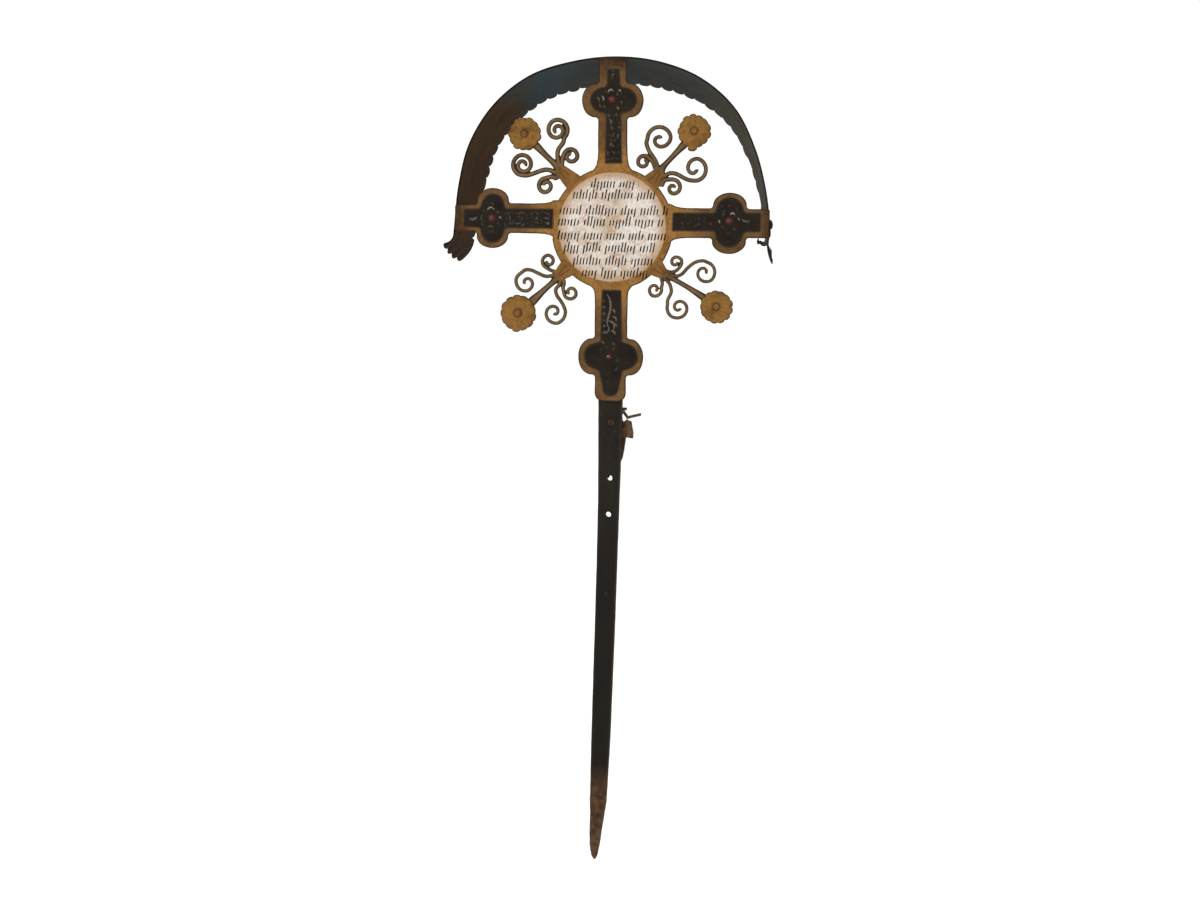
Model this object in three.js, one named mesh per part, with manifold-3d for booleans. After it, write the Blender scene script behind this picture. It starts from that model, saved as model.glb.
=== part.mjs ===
// A painted wrought-iron grave cross with a scalloped sheet-iron roof.
// Millimetres, +Z up, the painted front faces -Y. The origin is on the shaft where it enters the ground.

import * as THREE from "three";
import { mergeVertices } from "three/addons/utils/BufferGeometryUtils.js";
import Module from "manifold-3d";

const wasm = await Module();
wasm.setup();

// Planes through the depth: shaft, plate in front of it, sprays in front of the plate
const GAP = 0.3;
const SHAFT_DEPTH = 12;
const SHAFT_FRONT = -SHAFT_DEPTH / 2;
const SHAFT_BACK = SHAFT_DEPTH / 2;
const PLATE_THICK = 4;
const PLATE_BACK = SHAFT_FRONT - GAP;
const PLATE_FRONT = PLATE_BACK - PLATE_THICK;

// Cross plate: a ring with four arms, each arm with a pair of round lobes near its end
const RING_Z = 1099;
const RING_RADIUS = 121;
const FILLET = 6;
const FLARE = 30;
const ARMS = {
  right: {
    turn: 0, offset: 12, lean: 0, root: 32, neck: 29,
    lobeAt: 231.5, lobeHalf: 33, reach: 59.5, stub: 28, end: 309.5, corner: 4,
  },
  top: {
    turn: 90, offset: -1.5, lean: 0.022, root: 32, neck: 29,
    lobeAt: 250, lobeHalf: 33, reach: 61, stub: 27.5, end: 334, corner: 3,
  },
  left: {
    turn: 180, offset: -18.5, lean: 0, root: 32, neck: 29.5,
    lobeAt: 241, lobeHalf: 32, reach: 59.5, stub: 26.5, end: 318, corner: 5,
  },
  bottom: {
    turn: 270, offset: 0.3, lean: 0.012, root: 33.5, neck: 32.5,
    lobeAt: 253, lobeHalf: 36, reach: 65, stub: 31, end: 341.5, corner: 16,
  },
};

// Tabs at three arm ends, bent back under the roof and riveted to it
const TAB_HALF_WIDTH = 20;
const TAB_REAR = 18;
const ROOF_RIVET_AT = 8;
const ROOF_RIVET_HEADS = { right: 6, top: 3, left: 3.5 };
const ROOF_RIVET_RADIUS = 9.5;

// Roof: a splayed strip bent over the cross, its front edge given by radii every 15 degrees
const ROOF_RADII = [312, 311, 320, 334, 339, 337.5, 336.5, 339, 346.5, 345.5, 337.5, 324.5, 321];
const ROOF_THICK = 3;
const ROOF_FRONT = PLATE_BACK + GAP;
const ROOF_REAR = 124;
const SPLAY = { right: 15, left: 21, top: 30 };
const SCALLOPS = 41;
const SCALLOP_DEPTH = 11;
const FOOT_PETALS = 4;
const WAIST_REACH = 50;
const FEET = {
  left: { neck: [-320.5, 1086], lengths: [30, 38, 46, 49], bends: [20, 27, 27, 26], waist: 26, flute: 3 },
  right: { neck: [308.5, 1084], lengths: [48, 20, 12, 8], bends: [16, 12, -6, -14], waist: 14, flute: 2.5 },
};

// Shaft: a flat bar tapering to a blunt point below the ground line
const SHAFT = [
  { z: -171, x: -7.5, width: 5, depth: 5 },
  { z: -163, x: -7.5, width: 13, depth: 8 },
  { z: -142, x: -7.5, width: 20.5, depth: 10 },
  { z: -111, x: -6, width: 25, depth: 12 },
  { z: -80, x: -3.5, width: 29, depth: 12 },
  { z: -50, x: -2.2, width: 34, depth: 12 },
  { z: 74, x: 0.2, width: 38.5, depth: 12 },
  { z: 196, x: 1.8, width: 40, depth: 12 },
  { z: 318, x: 3.4, width: 41, depth: 12 },
  { z: 439, x: 4.5, width: 41.5, depth: 12 },
  { z: 560, x: 5.2, width: 43, depth: 12 },
  { z: 619, x: 5, width: 45, depth: 12 },
  { z: 755, x: 4.3, width: 48.5, depth: 12 },
  { z: 985, x: 2, width: 49, depth: 12 },
];
const SHAFT_CHAMFER = 1.5;
const BOLT_HOLE_RADIUS = 5.6;
const BOLT_HOLES = [[6.4, 604.7], [5.4, 531.5]];
const UPPER_RIVET = [6.8, 716];
const LOWER_RIVET = [5.7, 372.5];
const RIVET_SHANK = 4.2;
const RIVET_SIDES = 8;
const RIVET_TAIL = { radius: 7, height: 2.5 };

// Four sprays of forged tines. Angles are in degrees from +X, counter-clockwise seen from the front.
// The stem's points are [x, z, width], from the broad palm on the ring to the rosette. Each tine leaves
// the root, passes its via points and enters its coil at "entry"; the coil keeps its outer radius for
// "hold" degrees and has closed to the inner radius after "closed" degrees of its sweep.
const SPRAYS = {
  spray_upper_left: {
    root: [-103, 1211], width: 9, rosette: [-178, 1283], radius: 33.5,
    stem: [[-75, 1185.5, 38], [-99, 1207.5, 26], [-116, 1224, 13], [-135, 1241.5, 11.5], [-154, 1260, 15]],
    scrolls: [
      {
        via: [[-107.5, 1224.5], [-111, 1240.5], [-109, 1253.5], [-100.5, 1265.5]],
        eye: [-112.5, 1290], entry: -45, hand: 1, outer: 20.5, inner: 4, hold: 220, closed: 670, sweep: 670,
      },
      {
        via: [[-101.5, 1227], [-100, 1238]],
        eye: [-85, 1239.5], entry: 145, hand: -1, outer: 13.6, inner: 4, hold: 160, closed: 420, sweep: 435,
      },
      {
        via: [[-115.5, 1208], [-125.5, 1212], [-138, 1212.5], [-155.5, 1206.5], [-169.5, 1202]],
        eye: [-180, 1222], entry: 265, hand: -1, outer: 20.2, inner: 4, hold: 220, closed: 680, sweep: 680,
      },
      {
        via: [[-112.5, 1197], [-121.5, 1199]],
        eye: [-133, 1182], entry: 95, hand: 1, outer: 14.2, inner: 4.5, hold: 150, closed: 440, sweep: 450,
      },
    ],
  },
  spray_upper_right: {
    root: [89.5, 1206], width: 7.6, rosette: [158.5, 1288.5], radius: 33,
    stem: [[74, 1187, 38], [89.5, 1204, 27], [100, 1220, 12.5], [120.5, 1242.5, 10.5], [142, 1266, 16.5]],
    scrolls: [
      {
        via: [[89, 1217.5], [83, 1232.5], [71.5, 1249], [65.5, 1264]],
        eye: [90, 1273.5], entry: 180, hand: -1, outer: 23, inner: 4, hold: 180, closed: 410, sweep: 530,
      },
      {
        via: [[83.5, 1217.5], [79, 1228]],
        eye: [61.5, 1229], entry: 35, hand: 1, outer: 11.8, inner: 3.5, hold: 170, closed: 400, sweep: 420,
      },
      {
        via: [[102, 1202], [113, 1207], [126, 1205.5], [141.5, 1197.5], [153, 1193.5]],
        eye: [161.5, 1214], entry: 285, hand: 1, outer: 21.8, inner: 4, hold: 160, closed: 370, sweep: 450,
      },
      {
        via: [[97, 1184], [102.5, 1193]],
        eye: [120, 1178], entry: 100, hand: -1, outer: 17.5, inner: 3.5, hold: 0, closed: 420, sweep: 450,
      },
    ],
  },
  spray_lower_left: {
    root: [-98, 1009], width: 6.4, rosette: [-184, 929], radius: 37,
    stem: [[-81.5, 1024.5, 40], [-97, 1010, 29], [-113, 993.5, 13], [-132, 976, 11.5], [-154.5, 954.5, 18]],
    scrolls: [
      {
        via: [[-113.5, 1013], [-122, 1016]],
        eye: [-124.5, 1032], entry: 225, hand: -1, outer: 12.6, inner: 3.5, hold: 130, closed: 410, sweep: 430,
      },
      {
        via: [[-113.5, 1005], [-130, 1003], [-147, 1009.5], [-159, 1014.5], [-171, 1015]],
        eye: [-168.5, 989.5], entry: 120, hand: 1, outer: 22.4, inner: 4, hold: 40, closed: 430, sweep: 460,
      },
      {
        via: [[-101.5, 988], [-109, 977], [-106.5, 965.5], [-98, 954]],
        eye: [-111, 932], entry: 30, hand: -1, outer: 22.4, inner: 3.5, hold: 110, closed: 470, sweep: 510,
      },
      {
        via: [[-92.5, 991.5], [-94.5, 981]],
        eye: [-79.5, 972], entry: 185, hand: 1, outer: 13, inner: 3.5, hold: 140, closed: 400, sweep: 420,
      },
    ],
  },
  spray_lower_right: {
    root: [103.5, 1014], width: 6, rosette: [210.5, 948], radius: 33,
    stem: [[83.5, 1028.5, 42], [99, 1016, 28], [119, 1004.5, 11.5], [152, 986.5, 9.5], [183, 967.5, 14]],
    scrolls: [
      {
        via: [[110, 1016], [121.5, 1014.5], [131.5, 1018.5]],
        eye: [128.5, 1034], entry: -35, hand: 1, outer: 12.2, inner: 3.5, hold: 60, closed: 385, sweep: 410,
      },
      {
        via: [[114, 1010.5], [130.5, 1007], [142, 1011.5], [153, 1023.5], [166.5, 1034], [181.5, 1037.5]],
        eye: [185.5, 1015], entry: 75, hand: -1, outer: 20.4, inner: 3.5, hold: 130, closed: 430, sweep: 480,
      },
      {
        via: [[101, 1003.5], [103.5, 993]],
        eye: [89, 980.5], entry: 15, hand: -1, outer: 13.4, inner: 3.2, hold: 130, closed: 420, sweep: 450,
      },
      {
        via: [[108.5, 1002], [118, 991], [121.5, 976], [115, 960]],
        eye: [137, 945.5], entry: 165, hand: 1, outer: 23, inner: 4, hold: 60, closed: 490, sweep: 540,
      },
    ],
  },
};
const TINE_SIDES = 6;
const TINE_DEPTH = 7;
const COIL_STEP = 42;
const ROSETTE_SCALLOPS = 13;
const ROSETTE_NOTCH = 3.5;

// Bracket: a strap behind the shaft, with a broken hook, a folded leaf and a tongue at its right
const STRAP_THICK = 4;
const STRAP = { left: -14, right: 27, top: 752, bottom: 602 };
const TONGUE = [[22, 642], [26.5, 635.5], [31, 648], [33, 660], [34.5, 672], [36, 684], [34, 706], [28, 722]];
const LEAF = [[28, 716], [36, 722], [46, 718], [50.6, 696], [50, 684], [37, 686], [30, 690]];
const LEAF_THICK = 7;
const HOOK = [[26, 742], [38, 726], [65, 733]];
const KNOB = [[24, 743], [36.5, 743]];
const HOOK_RADIUS = 3.2;

// Colours of the painted and rusted iron
const FINISH = {
  gold: { color: 0x96692f, roughness: 0.6, metalness: 0.1 },
  black: { color: 0x2a2622, roughness: 0.65, metalness: 0.2 },
  slate: { color: 0x3e4340, roughness: 0.6, metalness: 0.15 },
  rust: { color: 0x74502e, roughness: 0.8, metalness: 0.1 },
};

const radians = THREE.MathUtils.degToRad;
const mix = THREE.MathUtils.lerp;
const clamp = THREE.MathUtils.clamp;
const smoothstep = THREE.MathUtils.smoothstep;

// Closed surfaces from rows of points

function signedVolume(points, faces) {
  const cross = new THREE.Vector3();
  const wedge = ([a, b, c]) => points[a].dot(cross.crossVectors(points[b], points[c])) / 6;
  return faces.reduce((sum, face) => sum + wedge(face), 0);
}

function surface(points, faces) {
  const outward = signedVolume(points, faces) > 0 ? faces : faces.map(([a, b, c]) => [a, c, b]);
  const geometry = new THREE.BufferGeometry();
  const numbers = points.flatMap((p) => [p.x, p.y, p.z]);
  geometry.setAttribute("position", new THREE.Float32BufferAttribute(numbers, 3));
  geometry.setIndex(outward.flat());
  return geometry;
}

// Triangles between two rows of { id, t }, which may have different numbers of points
function zip(faces, lower, upper) {
  let i = 0;
  let j = 0;
  while (i < lower.length - 1 || j < upper.length - 1) {
    const lowerNext = i < lower.length - 1 ? lower[i + 1].t : Infinity;
    const upperNext = j < upper.length - 1 ? upper[j + 1].t : Infinity;
    if (lowerNext <= upperNext) {
      faces.push([lower[i].id, lower[i + 1].id, upper[j].id]);
      i += 1;
    } else {
      faces.push([lower[i].id, upper[j + 1].id, upper[j].id]);
      j += 1;
    }
  }
}

// A closed skin over loops of points, each loop a ring or a single closing point
function skin(loops) {
  const points = [];
  const faces = [];
  const rows = loops.map((loop) => {
    const row = loop.map((point, k) => ({ id: points.push(point) - 1, t: k / loop.length }));
    return loop.length > 1 ? [...row, { id: row[0].id, t: 1 }] : row;
  });
  for (let k = 0; k + 1 < rows.length; k += 1) {
    zip(faces, rows[k], rows[k + 1]);
  }
  return surface(points, faces);
}

function centreOf(loop) {
  const sum = loop.reduce((total, point) => total.add(point), new THREE.Vector3());
  return sum.divideScalar(loop.length);
}

function cappedSkin(loops) {
  return skin([[centreOf(loops[0])], ...loops, [centreOf(loops[loops.length - 1])]]);
}

// Joining and cutting

function toSolid(geometry) {
  const plain = geometry.clone();
  plain.deleteAttribute("normal");
  plain.deleteAttribute("uv");
  const merged = mergeVertices(plain);
  const mesh = new wasm.Mesh({
    numProp: 3,
    vertProperties: new Float32Array(merged.attributes.position.array),
    triVerts: new Uint32Array(merged.index.array),
  });
  return new wasm.Manifold(mesh);
}

function toGeometry(solid) {
  const mesh = solid.getMesh();
  const geometry = new THREE.BufferGeometry();
  geometry.setAttribute("position", new THREE.BufferAttribute(mesh.vertProperties, 3));
  geometry.setIndex(new THREE.BufferAttribute(mesh.triVerts, 1));
  return geometry;
}

function joined(geometries) {
  const solids = geometries.map(toSolid);
  return toGeometry(solids.reduce((whole, next) => whole.add(next)));
}

function cut(geometry, tools) {
  const whole = toSolid(geometry);
  return toGeometry(tools.reduce((rest, tool) => rest.subtract(toSolid(tool)), whole));
}

// A cylinder from one point to another
function rod(from, to, radius, sides = 12) {
  const axis = new THREE.Vector3().subVectors(to, from);
  const geometry = new THREE.CylinderGeometry(radius, radius, axis.length(), sides);
  const upward = new THREE.Vector3(0, 1, 0);
  const turn = new THREE.Quaternion().setFromUnitVectors(upward, axis.clone().normalize());
  geometry.applyQuaternion(turn);
  const middle = from.clone().add(to).multiplyScalar(0.5);
  return geometry.translate(middle.x, middle.y, middle.z);
}

function throughHole([x, z], radius) {
  return rod(new THREE.Vector3(x, -40, z), new THREE.Vector3(x, 40, z), radius);
}

// A rivet turned about its shank, from the head's crown at distance 0 to the tail's end
function rivet(crown, direction, head, length) {
  const profile = [
    [0, 0],
    [head.radius * 0.6, head.height * 0.2],
    [head.radius, head.height * 0.75],
    [head.radius, head.height],
    [RIVET_SHANK, head.height],
    [RIVET_SHANK, head.height + length],
    [RIVET_TAIL.radius, head.height + length],
    [RIVET_TAIL.radius * 0.8, head.height + length + RIVET_TAIL.height],
    [0, head.height + length + RIVET_TAIL.height],
  ];
  const geometry = new THREE.LatheGeometry(profile.map(([r, y]) => new THREE.Vector2(r, y)), RIVET_SIDES);
  const turn = new THREE.Quaternion().setFromUnitVectors(new THREE.Vector3(0, 1, 0), direction);
  geometry.applyQuaternion(turn);
  return geometry.translate(crown.x, crown.y, crown.z);
}

// Shaft

function barSection({ x, z, width, depth }) {
  const half = width / 2;
  const deep = depth / 2;
  const c = Math.min(SHAFT_CHAMFER, half / 2);
  const corners = [[-half, -deep], [half, -deep], [half, deep], [-half, deep]];
  return corners.flatMap(([dx, dy], k) => {
    const besideX = new THREE.Vector3(x + dx - c * Math.sign(dx), dy, z);
    const besideY = new THREE.Vector3(x + dx, dy - c * Math.sign(dy), z);
    return k % 2 === 0 ? [besideY, besideX] : [besideX, besideY];
  });
}

function shaftGeometry() {
  const bar = cappedSkin(SHAFT.map(barSection));
  const holes = BOLT_HOLES.map((place) => throughHole(place, BOLT_HOLE_RADIUS));
  const rivetHoles = [UPPER_RIVET, LOWER_RIVET].map((place) => throughHole(place, RIVET_SHANK + GAP));
  return cut(bar, [...holes, ...rivetHoles]);
}

function shaftRivet([x, z], headRadius, backFace) {
  const head = { radius: headRadius, height: 3.5 };
  const crown = new THREE.Vector3(x, SHAFT_FRONT - GAP - head.height, z);
  const length = backFace - SHAFT_FRONT + 2 * GAP;
  return rivet(crown, new THREE.Vector3(0, 1, 0), head, length);
}

// Cross plate

// Points of an elliptical arc, angles in degrees
function arc(centre, radii, from, to, steps) {
  return Array.from({ length: steps + 1 }, (_, k) => {
    const angle = radians(mix(from, to, k / steps));
    return [centre[0] + radii[0] * Math.cos(angle), centre[1] + radii[1] * Math.sin(angle)];
  });
}

// Half of an arm's outline, from the ring outward, as [distance along the arm, distance from its axis]
function armEdge(arm) {
  const base = arm.neck + FILLET;
  const inner = arm.lobeAt - arm.lobeHalf - FILLET;
  const outer = arm.lobeAt + arm.lobeHalf + FILLET;
  const fillet = [FILLET, FILLET];
  return [
    [RING_RADIUS - 3, arm.root + 4],
    [RING_RADIUS + 3, arm.root + 0.5],
    [RING_RADIUS + 14, mix(arm.root, arm.neck, 0.6)],
    [RING_RADIUS + FLARE, arm.neck],
    ...arc([inner, base], fillet, -90, 0, 2),
    ...arc([arm.lobeAt, base], [arm.lobeHalf, arm.reach - base], 180, 0, 10).slice(1, -1),
    ...arc([outer, arm.stub + FILLET], fillet, 180, 270, 2),
    ...arc([arm.end - arm.corner, arm.stub - arm.corner], [arm.corner, arm.corner], 90, 0, 3),
  ];
}

function armOutline(arm) {
  const edge = armEdge(arm);
  const turn = radians(arm.turn);
  const place = ([along, across]) => {
    const side = across + arm.offset + arm.lean * along;
    const x = along * Math.cos(turn) - side * Math.sin(turn);
    const z = along * Math.sin(turn) + side * Math.cos(turn);
    return new THREE.Vector2(x, z + RING_Z);
  };
  return [...edge.map(([along, across]) => [along, -across]), ...edge.reverse()].map(place);
}

function plateOutline() {
  const outline = [];
  const angleOf = (point) => Math.atan2(point.y - RING_Z, point.x);
  const sides = Object.values(ARMS).map(armOutline);
  sides.forEach((side, k) => {
    outline.push(...side);
    const from = angleOf(side[side.length - 1]);
    let to = angleOf(sides[(k + 1) % sides.length][0]);
    to += to < from ? 2 * Math.PI : 0;
    for (let step = 1; step < 8; step += 1) {
      const angle = mix(from, to, step / 8);
      outline.push(new THREE.Vector2(RING_RADIUS * Math.cos(angle), RING_Z + RING_RADIUS * Math.sin(angle)));
    }
  });
  return outline;
}

// The shape is drawn in X and Z, so it is extruded along -Y
function upright(shape, front, thick) {
  const geometry = new THREE.ExtrudeGeometry(shape, { depth: thick, bevelEnabled: false });
  geometry.rotateX(Math.PI / 2);
  return geometry.translate(0, front + thick, 0);
}

// Roof

const roofPath = new THREE.SplineCurve([
  new THREE.Vector2(FEET.right.neck[0], FEET.right.neck[1]),
  ...ROOF_RADII.map((radius, k) => {
    const angle = radians(k * 15);
    const middle = radius - ROOF_THICK / 2;
    return new THREE.Vector2(middle * Math.cos(angle), RING_Z + middle * Math.sin(angle));
  }),
  new THREE.Vector2(FEET.left.neck[0], FEET.left.neck[1]),
]);
const ROOF_LENGTH = roofPath.getLength();

function roofFrame(s) {
  const u = clamp(s / ROOF_LENGTH, 0, 1);
  const point = roofPath.getPointAt(u);
  const tangent = roofPath.getTangentAt(u);
  const beyond = s - u * ROOF_LENGTH;
  return { point: point.addScaledVector(tangent, beyond), normal: new THREE.Vector2(tangent.y, -tangent.x) };
}

// A point of the sheet: s along the strip, y its depth, lift its rise over the sheet, side 1 outside
// and -1 inside. The sheet leans inward toward its rear edge, more at the top than at the sides.
function sheetPoint(s, y, lift, side) {
  const { point, normal } = roofFrame(s);
  const height = clamp((point.y - RING_Z) / ROOF_RADII[6], 0, 1);
  const rightward = clamp(point.x / ROOF_RADII[0], -1, 1);
  const lean = mix(mix(SPLAY.left, SPLAY.right, (rightward + 1) / 2), SPLAY.top, height * height);
  const offset = lift - (lean * (y - ROOF_FRONT)) / (ROOF_REAR - ROOF_FRONT) + (side * ROOF_THICK) / 2;
  return new THREE.Vector3(point.x + normal.x * offset, y, point.y + normal.y * offset);
}

function scallopReach(s) {
  const turn = (s / ROOF_LENGTH) * SCALLOPS;
  const across = 2 * (turn - Math.floor(turn)) - 1;
  return SCALLOP_DEPTH * Math.sqrt(1 - across * across);
}

// The strip narrows from its rear edge toward the neck of each foot
function archRow(s) {
  const towardRight = FEET.right.waist * (1 - smoothstep(s, 0, WAIST_REACH));
  const towardLeft = FEET.left.waist * smoothstep(s, ROOF_LENGTH - WAIST_REACH, ROOF_LENGTH);
  const rear = ROOF_REAR - SCALLOP_DEPTH + scallopReach(s) - towardRight - towardLeft;
  return [{ s, t: 0, y: ROOF_FRONT, lift: 0 }, { s, t: 1, y: rear, lift: 0 }];
}

// Rows of a foot run from the neck at v = 0 to the petals' tips at v = 1, fluted into four petals
function footRow(foot, v, start, direction) {
  const columns = FOOT_PETALS * 4;
  const rear = ROOF_REAR - foot.waist * (1 - 0.6 * v * v);
  return Array.from({ length: columns + 1 }, (_, k) => {
    const t = k / columns;
    const across = clamp(t * FOOT_PETALS - 0.5, 0, FOOT_PETALS - 1);
    const petal = Math.min(Math.floor(across), FOOT_PETALS - 2);
    const length = mix(foot.lengths[petal], foot.lengths[petal + 1], across - petal);
    const bend = mix(foot.bends[petal], foot.bends[petal + 1], across - petal);
    const lobe = Math.sqrt(Math.abs(Math.sin(Math.PI * FOOT_PETALS * t)));
    return {
      s: start + direction * v * (length - 9 * (1 - lobe) * v),
      t,
      y: mix(ROOF_FRONT, rear, t),
      lift: bend * v * v + foot.flute * (lobe - 0.6) * v,
    };
  });
}

function roofGeometry() {
  const rowsPerScallop = 3;
  const shares = [0, 0.22, 0.78];
  const margin = 0.02;
  const rows = [];
  for (const v of [1, 0.7, 0.35]) {
    rows.push(footRow(FEET.right, v, 0, -1));
  }
  for (let k = 0; k < SCALLOPS * rowsPerScallop; k += 1) {
    const turn = Math.floor(k / rowsPerScallop) + shares[k % rowsPerScallop];
    rows.push(archRow((clamp(turn, margin, SCALLOPS) / SCALLOPS) * ROOF_LENGTH));
  }
  rows.push(archRow(ROOF_LENGTH * (1 - margin / SCALLOPS)));
  for (const v of [0.35, 0.7, 1]) {
    rows.push(footRow(FEET.left, v, ROOF_LENGTH, 1));
  }
  const points = [];
  const faces = [];
  const lines = rows.map((row) => {
    const line = (side) => row.map(({ s, t, y, lift }) => {
      return { id: points.push(sheetPoint(s, y, lift, side)) - 1, t };
    });
    return { outer: line(1), inner: line(-1) };
  });
  for (let k = 0; k + 1 < lines.length; k += 1) {
    const [here, next] = [lines[k], lines[k + 1]];
    zip(faces, here.outer, next.outer);
    zip(faces, next.inner, here.inner);
    faces.push([here.outer[0].id, next.outer[0].id, next.inner[0].id]);
    faces.push([here.outer[0].id, next.inner[0].id, here.inner[0].id]);
    const [a, b] = [here.outer.at(-1).id, next.outer.at(-1).id];
    faces.push([b, a, here.inner.at(-1).id]);
    faces.push([b, here.inner.at(-1).id, next.inner.at(-1).id]);
  }
  zip(faces, lines[0].inner, lines[0].outer);
  zip(faces, lines.at(-1).outer, lines.at(-1).inner);
  return surface(points, faces);
}

// Where an arm's axis meets the sheet, as a distance along the strip
function stationOf(arm) {
  const turn = radians(arm.turn);
  const side = arm.offset + arm.lean * arm.end;
  const x = arm.end * Math.cos(turn) - side * Math.sin(turn);
  const z = RING_Z + arm.end * Math.sin(turn) + side * Math.cos(turn);
  const target = new THREE.Vector2(x, z);
  const steps = 2000;
  let best = 0;
  for (let k = 0; k <= steps; k += 1) {
    const s = (k / steps) * ROOF_LENGTH;
    best = roofFrame(s).point.distanceTo(target) < roofFrame(best).point.distanceTo(target) ? s : best;
  }
  return best;
}

function tabGeometry(arm) {
  const middle = stationOf(arm);
  const loops = [];
  for (let k = 0; k <= 4; k += 1) {
    const s = middle + mix(-TAB_HALF_WIDTH, TAB_HALF_WIDTH, k / 4);
    loops.push([
      sheetPoint(s, PLATE_BACK - 2, -GAP, -1),
      sheetPoint(s, TAB_REAR, -GAP, -1),
      sheetPoint(s, TAB_REAR, -GAP - PLATE_THICK, -1),
      sheetPoint(s, PLATE_BACK - 2, -GAP - PLATE_THICK, -1),
    ]);
  }
  return cappedSkin(loops);
}

// The rivet's place on the outer face of the sheet, with the face's outward normal there
function rivetSeat(arm) {
  const s = stationOf(arm);
  const seat = sheetPoint(s, ROOF_RIVET_AT, 0, 1);
  const along = sheetPoint(s + 1, ROOF_RIVET_AT, 0, 1).sub(sheetPoint(s - 1, ROOF_RIVET_AT, 0, 1));
  const across = sheetPoint(s, ROOF_RIVET_AT + 1, 0, 1).sub(sheetPoint(s, ROOF_RIVET_AT - 1, 0, 1));
  const normal = new THREE.Vector3().crossVectors(along, across).normalize();
  const outward = seat.clone().sub(new THREE.Vector3(0, 0, RING_Z));
  return { seat, normal: normal.multiplyScalar(Math.sign(normal.dot(outward))) };
}

function roofRivetHole(arm) {
  const { seat, normal } = rivetSeat(arm);
  const reach = 20;
  return rod(
    seat.clone().addScaledVector(normal, reach),
    seat.clone().addScaledVector(normal, -reach),
    RIVET_SHANK + GAP,
  );
}

function roofRivet(arm, headHeight) {
  const { seat, normal } = rivetSeat(arm);
  const head = { radius: ROOF_RIVET_RADIUS, height: headHeight };
  const crown = seat.clone().addScaledVector(normal, GAP + head.height);
  return rivet(crown, normal.clone().negate(), head, ROOF_THICK + PLATE_THICK + 3 * GAP);
}

const RIVETED_ARMS = [ARMS.right, ARMS.top, ARMS.left];

function crossPlateGeometry() {
  const plate = upright(new THREE.Shape(plateOutline()), PLATE_FRONT, PLATE_THICK);
  return cut(joined([plate, ...RIVETED_ARMS.map(tabGeometry)]), RIVETED_ARMS.map(roofRivetHole));
}

// Sprays

function scrollCentres(root, scroll) {
  const lead = [root, ...scroll.via].map(([x, z]) => new THREE.Vector2(x, z));
  const steps = Math.round(scroll.sweep / COIL_STEP);
  const coil = Array.from({ length: steps + 1 }, (_, k) => {
    const turned = (k / steps) * scroll.sweep;
    const closing = clamp((turned - scroll.hold) / (scroll.closed - scroll.hold), 0, 1);
    const radius = mix(scroll.outer, scroll.inner, Math.pow(closing, 0.85));
    const angle = radians(scroll.entry + scroll.hand * turned);
    const [x, z] = scroll.eye;
    return new THREE.Vector2(x + radius * Math.cos(angle), z + radius * Math.sin(angle));
  });
  const curve = new THREE.SplineCurve([...lead, ...coil]);
  const spans = lead.length + coil.length - 1;
  const stops = Array.from({ length: spans + 1 }, (_, k) => k / spans);
  stops.splice(lead.length, 0, (lead.length - 0.5) / spans);
  return stops.map((u) => curve.getPoint(u));
}

// A bar of hexagonal section along centres in the XZ plane, as wide as widthAt tells at each share
function bar(centres, widthAt, y) {
  const last = centres.length - 1;
  const loops = centres.map((centre, k) => {
    const ahead = centres[Math.min(k + 1, last)];
    const behind = centres[Math.max(k - 1, 0)];
    const tangent = new THREE.Vector2().subVectors(ahead, behind).normalize();
    const half = widthAt(k / last) / 2;
    return Array.from({ length: TINE_SIDES }, (_, corner) => {
      const angle = ((corner + 0.5) / TINE_SIDES) * 2 * Math.PI;
      const out = half * Math.sin(angle);
      const deep = ((TINE_DEPTH / 2) * Math.cos(angle)) / Math.cos(Math.PI / TINE_SIDES);
      return new THREE.Vector3(centre.x - tangent.y * out, y + deep, centre.y + tangent.x * out);
    });
  });
  return cappedSkin(loops);
}

// A scalloped, slightly domed rosette with a boss at its centre, flat behind
function rosette([x, z], radius, y) {
  const ring = (count, reach, at, notch) => Array.from({ length: count }, (_, k) => {
    const angle = (k / count) * 2 * Math.PI;
    const lobe = Math.abs(Math.sin((ROSETTE_SCALLOPS * angle) / 2));
    const r = reach - notch * (1 - Math.sqrt(lobe));
    return new THREE.Vector3(x + r * Math.cos(angle), at, z + r * Math.sin(angle));
  });
  const rim = ROSETTE_SCALLOPS * 4;
  return skin([
    [new THREE.Vector3(x, y + 2, z)],
    ring(rim, radius, y + 2, ROSETTE_NOTCH),
    ring(rim, radius, y - 1, ROSETTE_NOTCH),
    ring(16, radius * 0.55, y - 4, 0),
    ring(8, 5.5, y - 4.5, 0),
    ring(8, 4.5, y - 7.5, 0),
    [new THREE.Vector3(x, y - 8.5, z)],
  ]);
}

// The stem runs from the wide palm on the ring to a point under the rosette
function stemBar(spray, y) {
  const rosetteEye = new THREE.Vector2(spray.rosette[0], spray.rosette[1]);
  const centres = spray.stem.map(([x, z]) => new THREE.Vector2(x, z));
  const widths = spray.stem.map(([, , width]) => width);
  centres.push(centres.at(-1).clone().lerp(rosetteEye, 0.5));
  widths.push(widths.at(-1));
  return bar(centres, (u) => widths[Math.round(u * (widths.length - 1))], y);
}

function sprayGeometry(spray) {
  const y = PLATE_FRONT - GAP - TINE_DEPTH / 2;
  const tines = spray.scrolls.map((scroll) => {
    return bar(scrollCentres(spray.root, scroll), (u) => spray.width * mix(1.1, 0.9, u), y);
  });
  return joined([stemBar(spray, y), rosette(spray.rosette, spray.radius, y), ...tines]);
}

// Bracket

function flatShape(points) {
  return new THREE.Shape(points.map(([x, z]) => new THREE.Vector2(x, z)));
}

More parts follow.
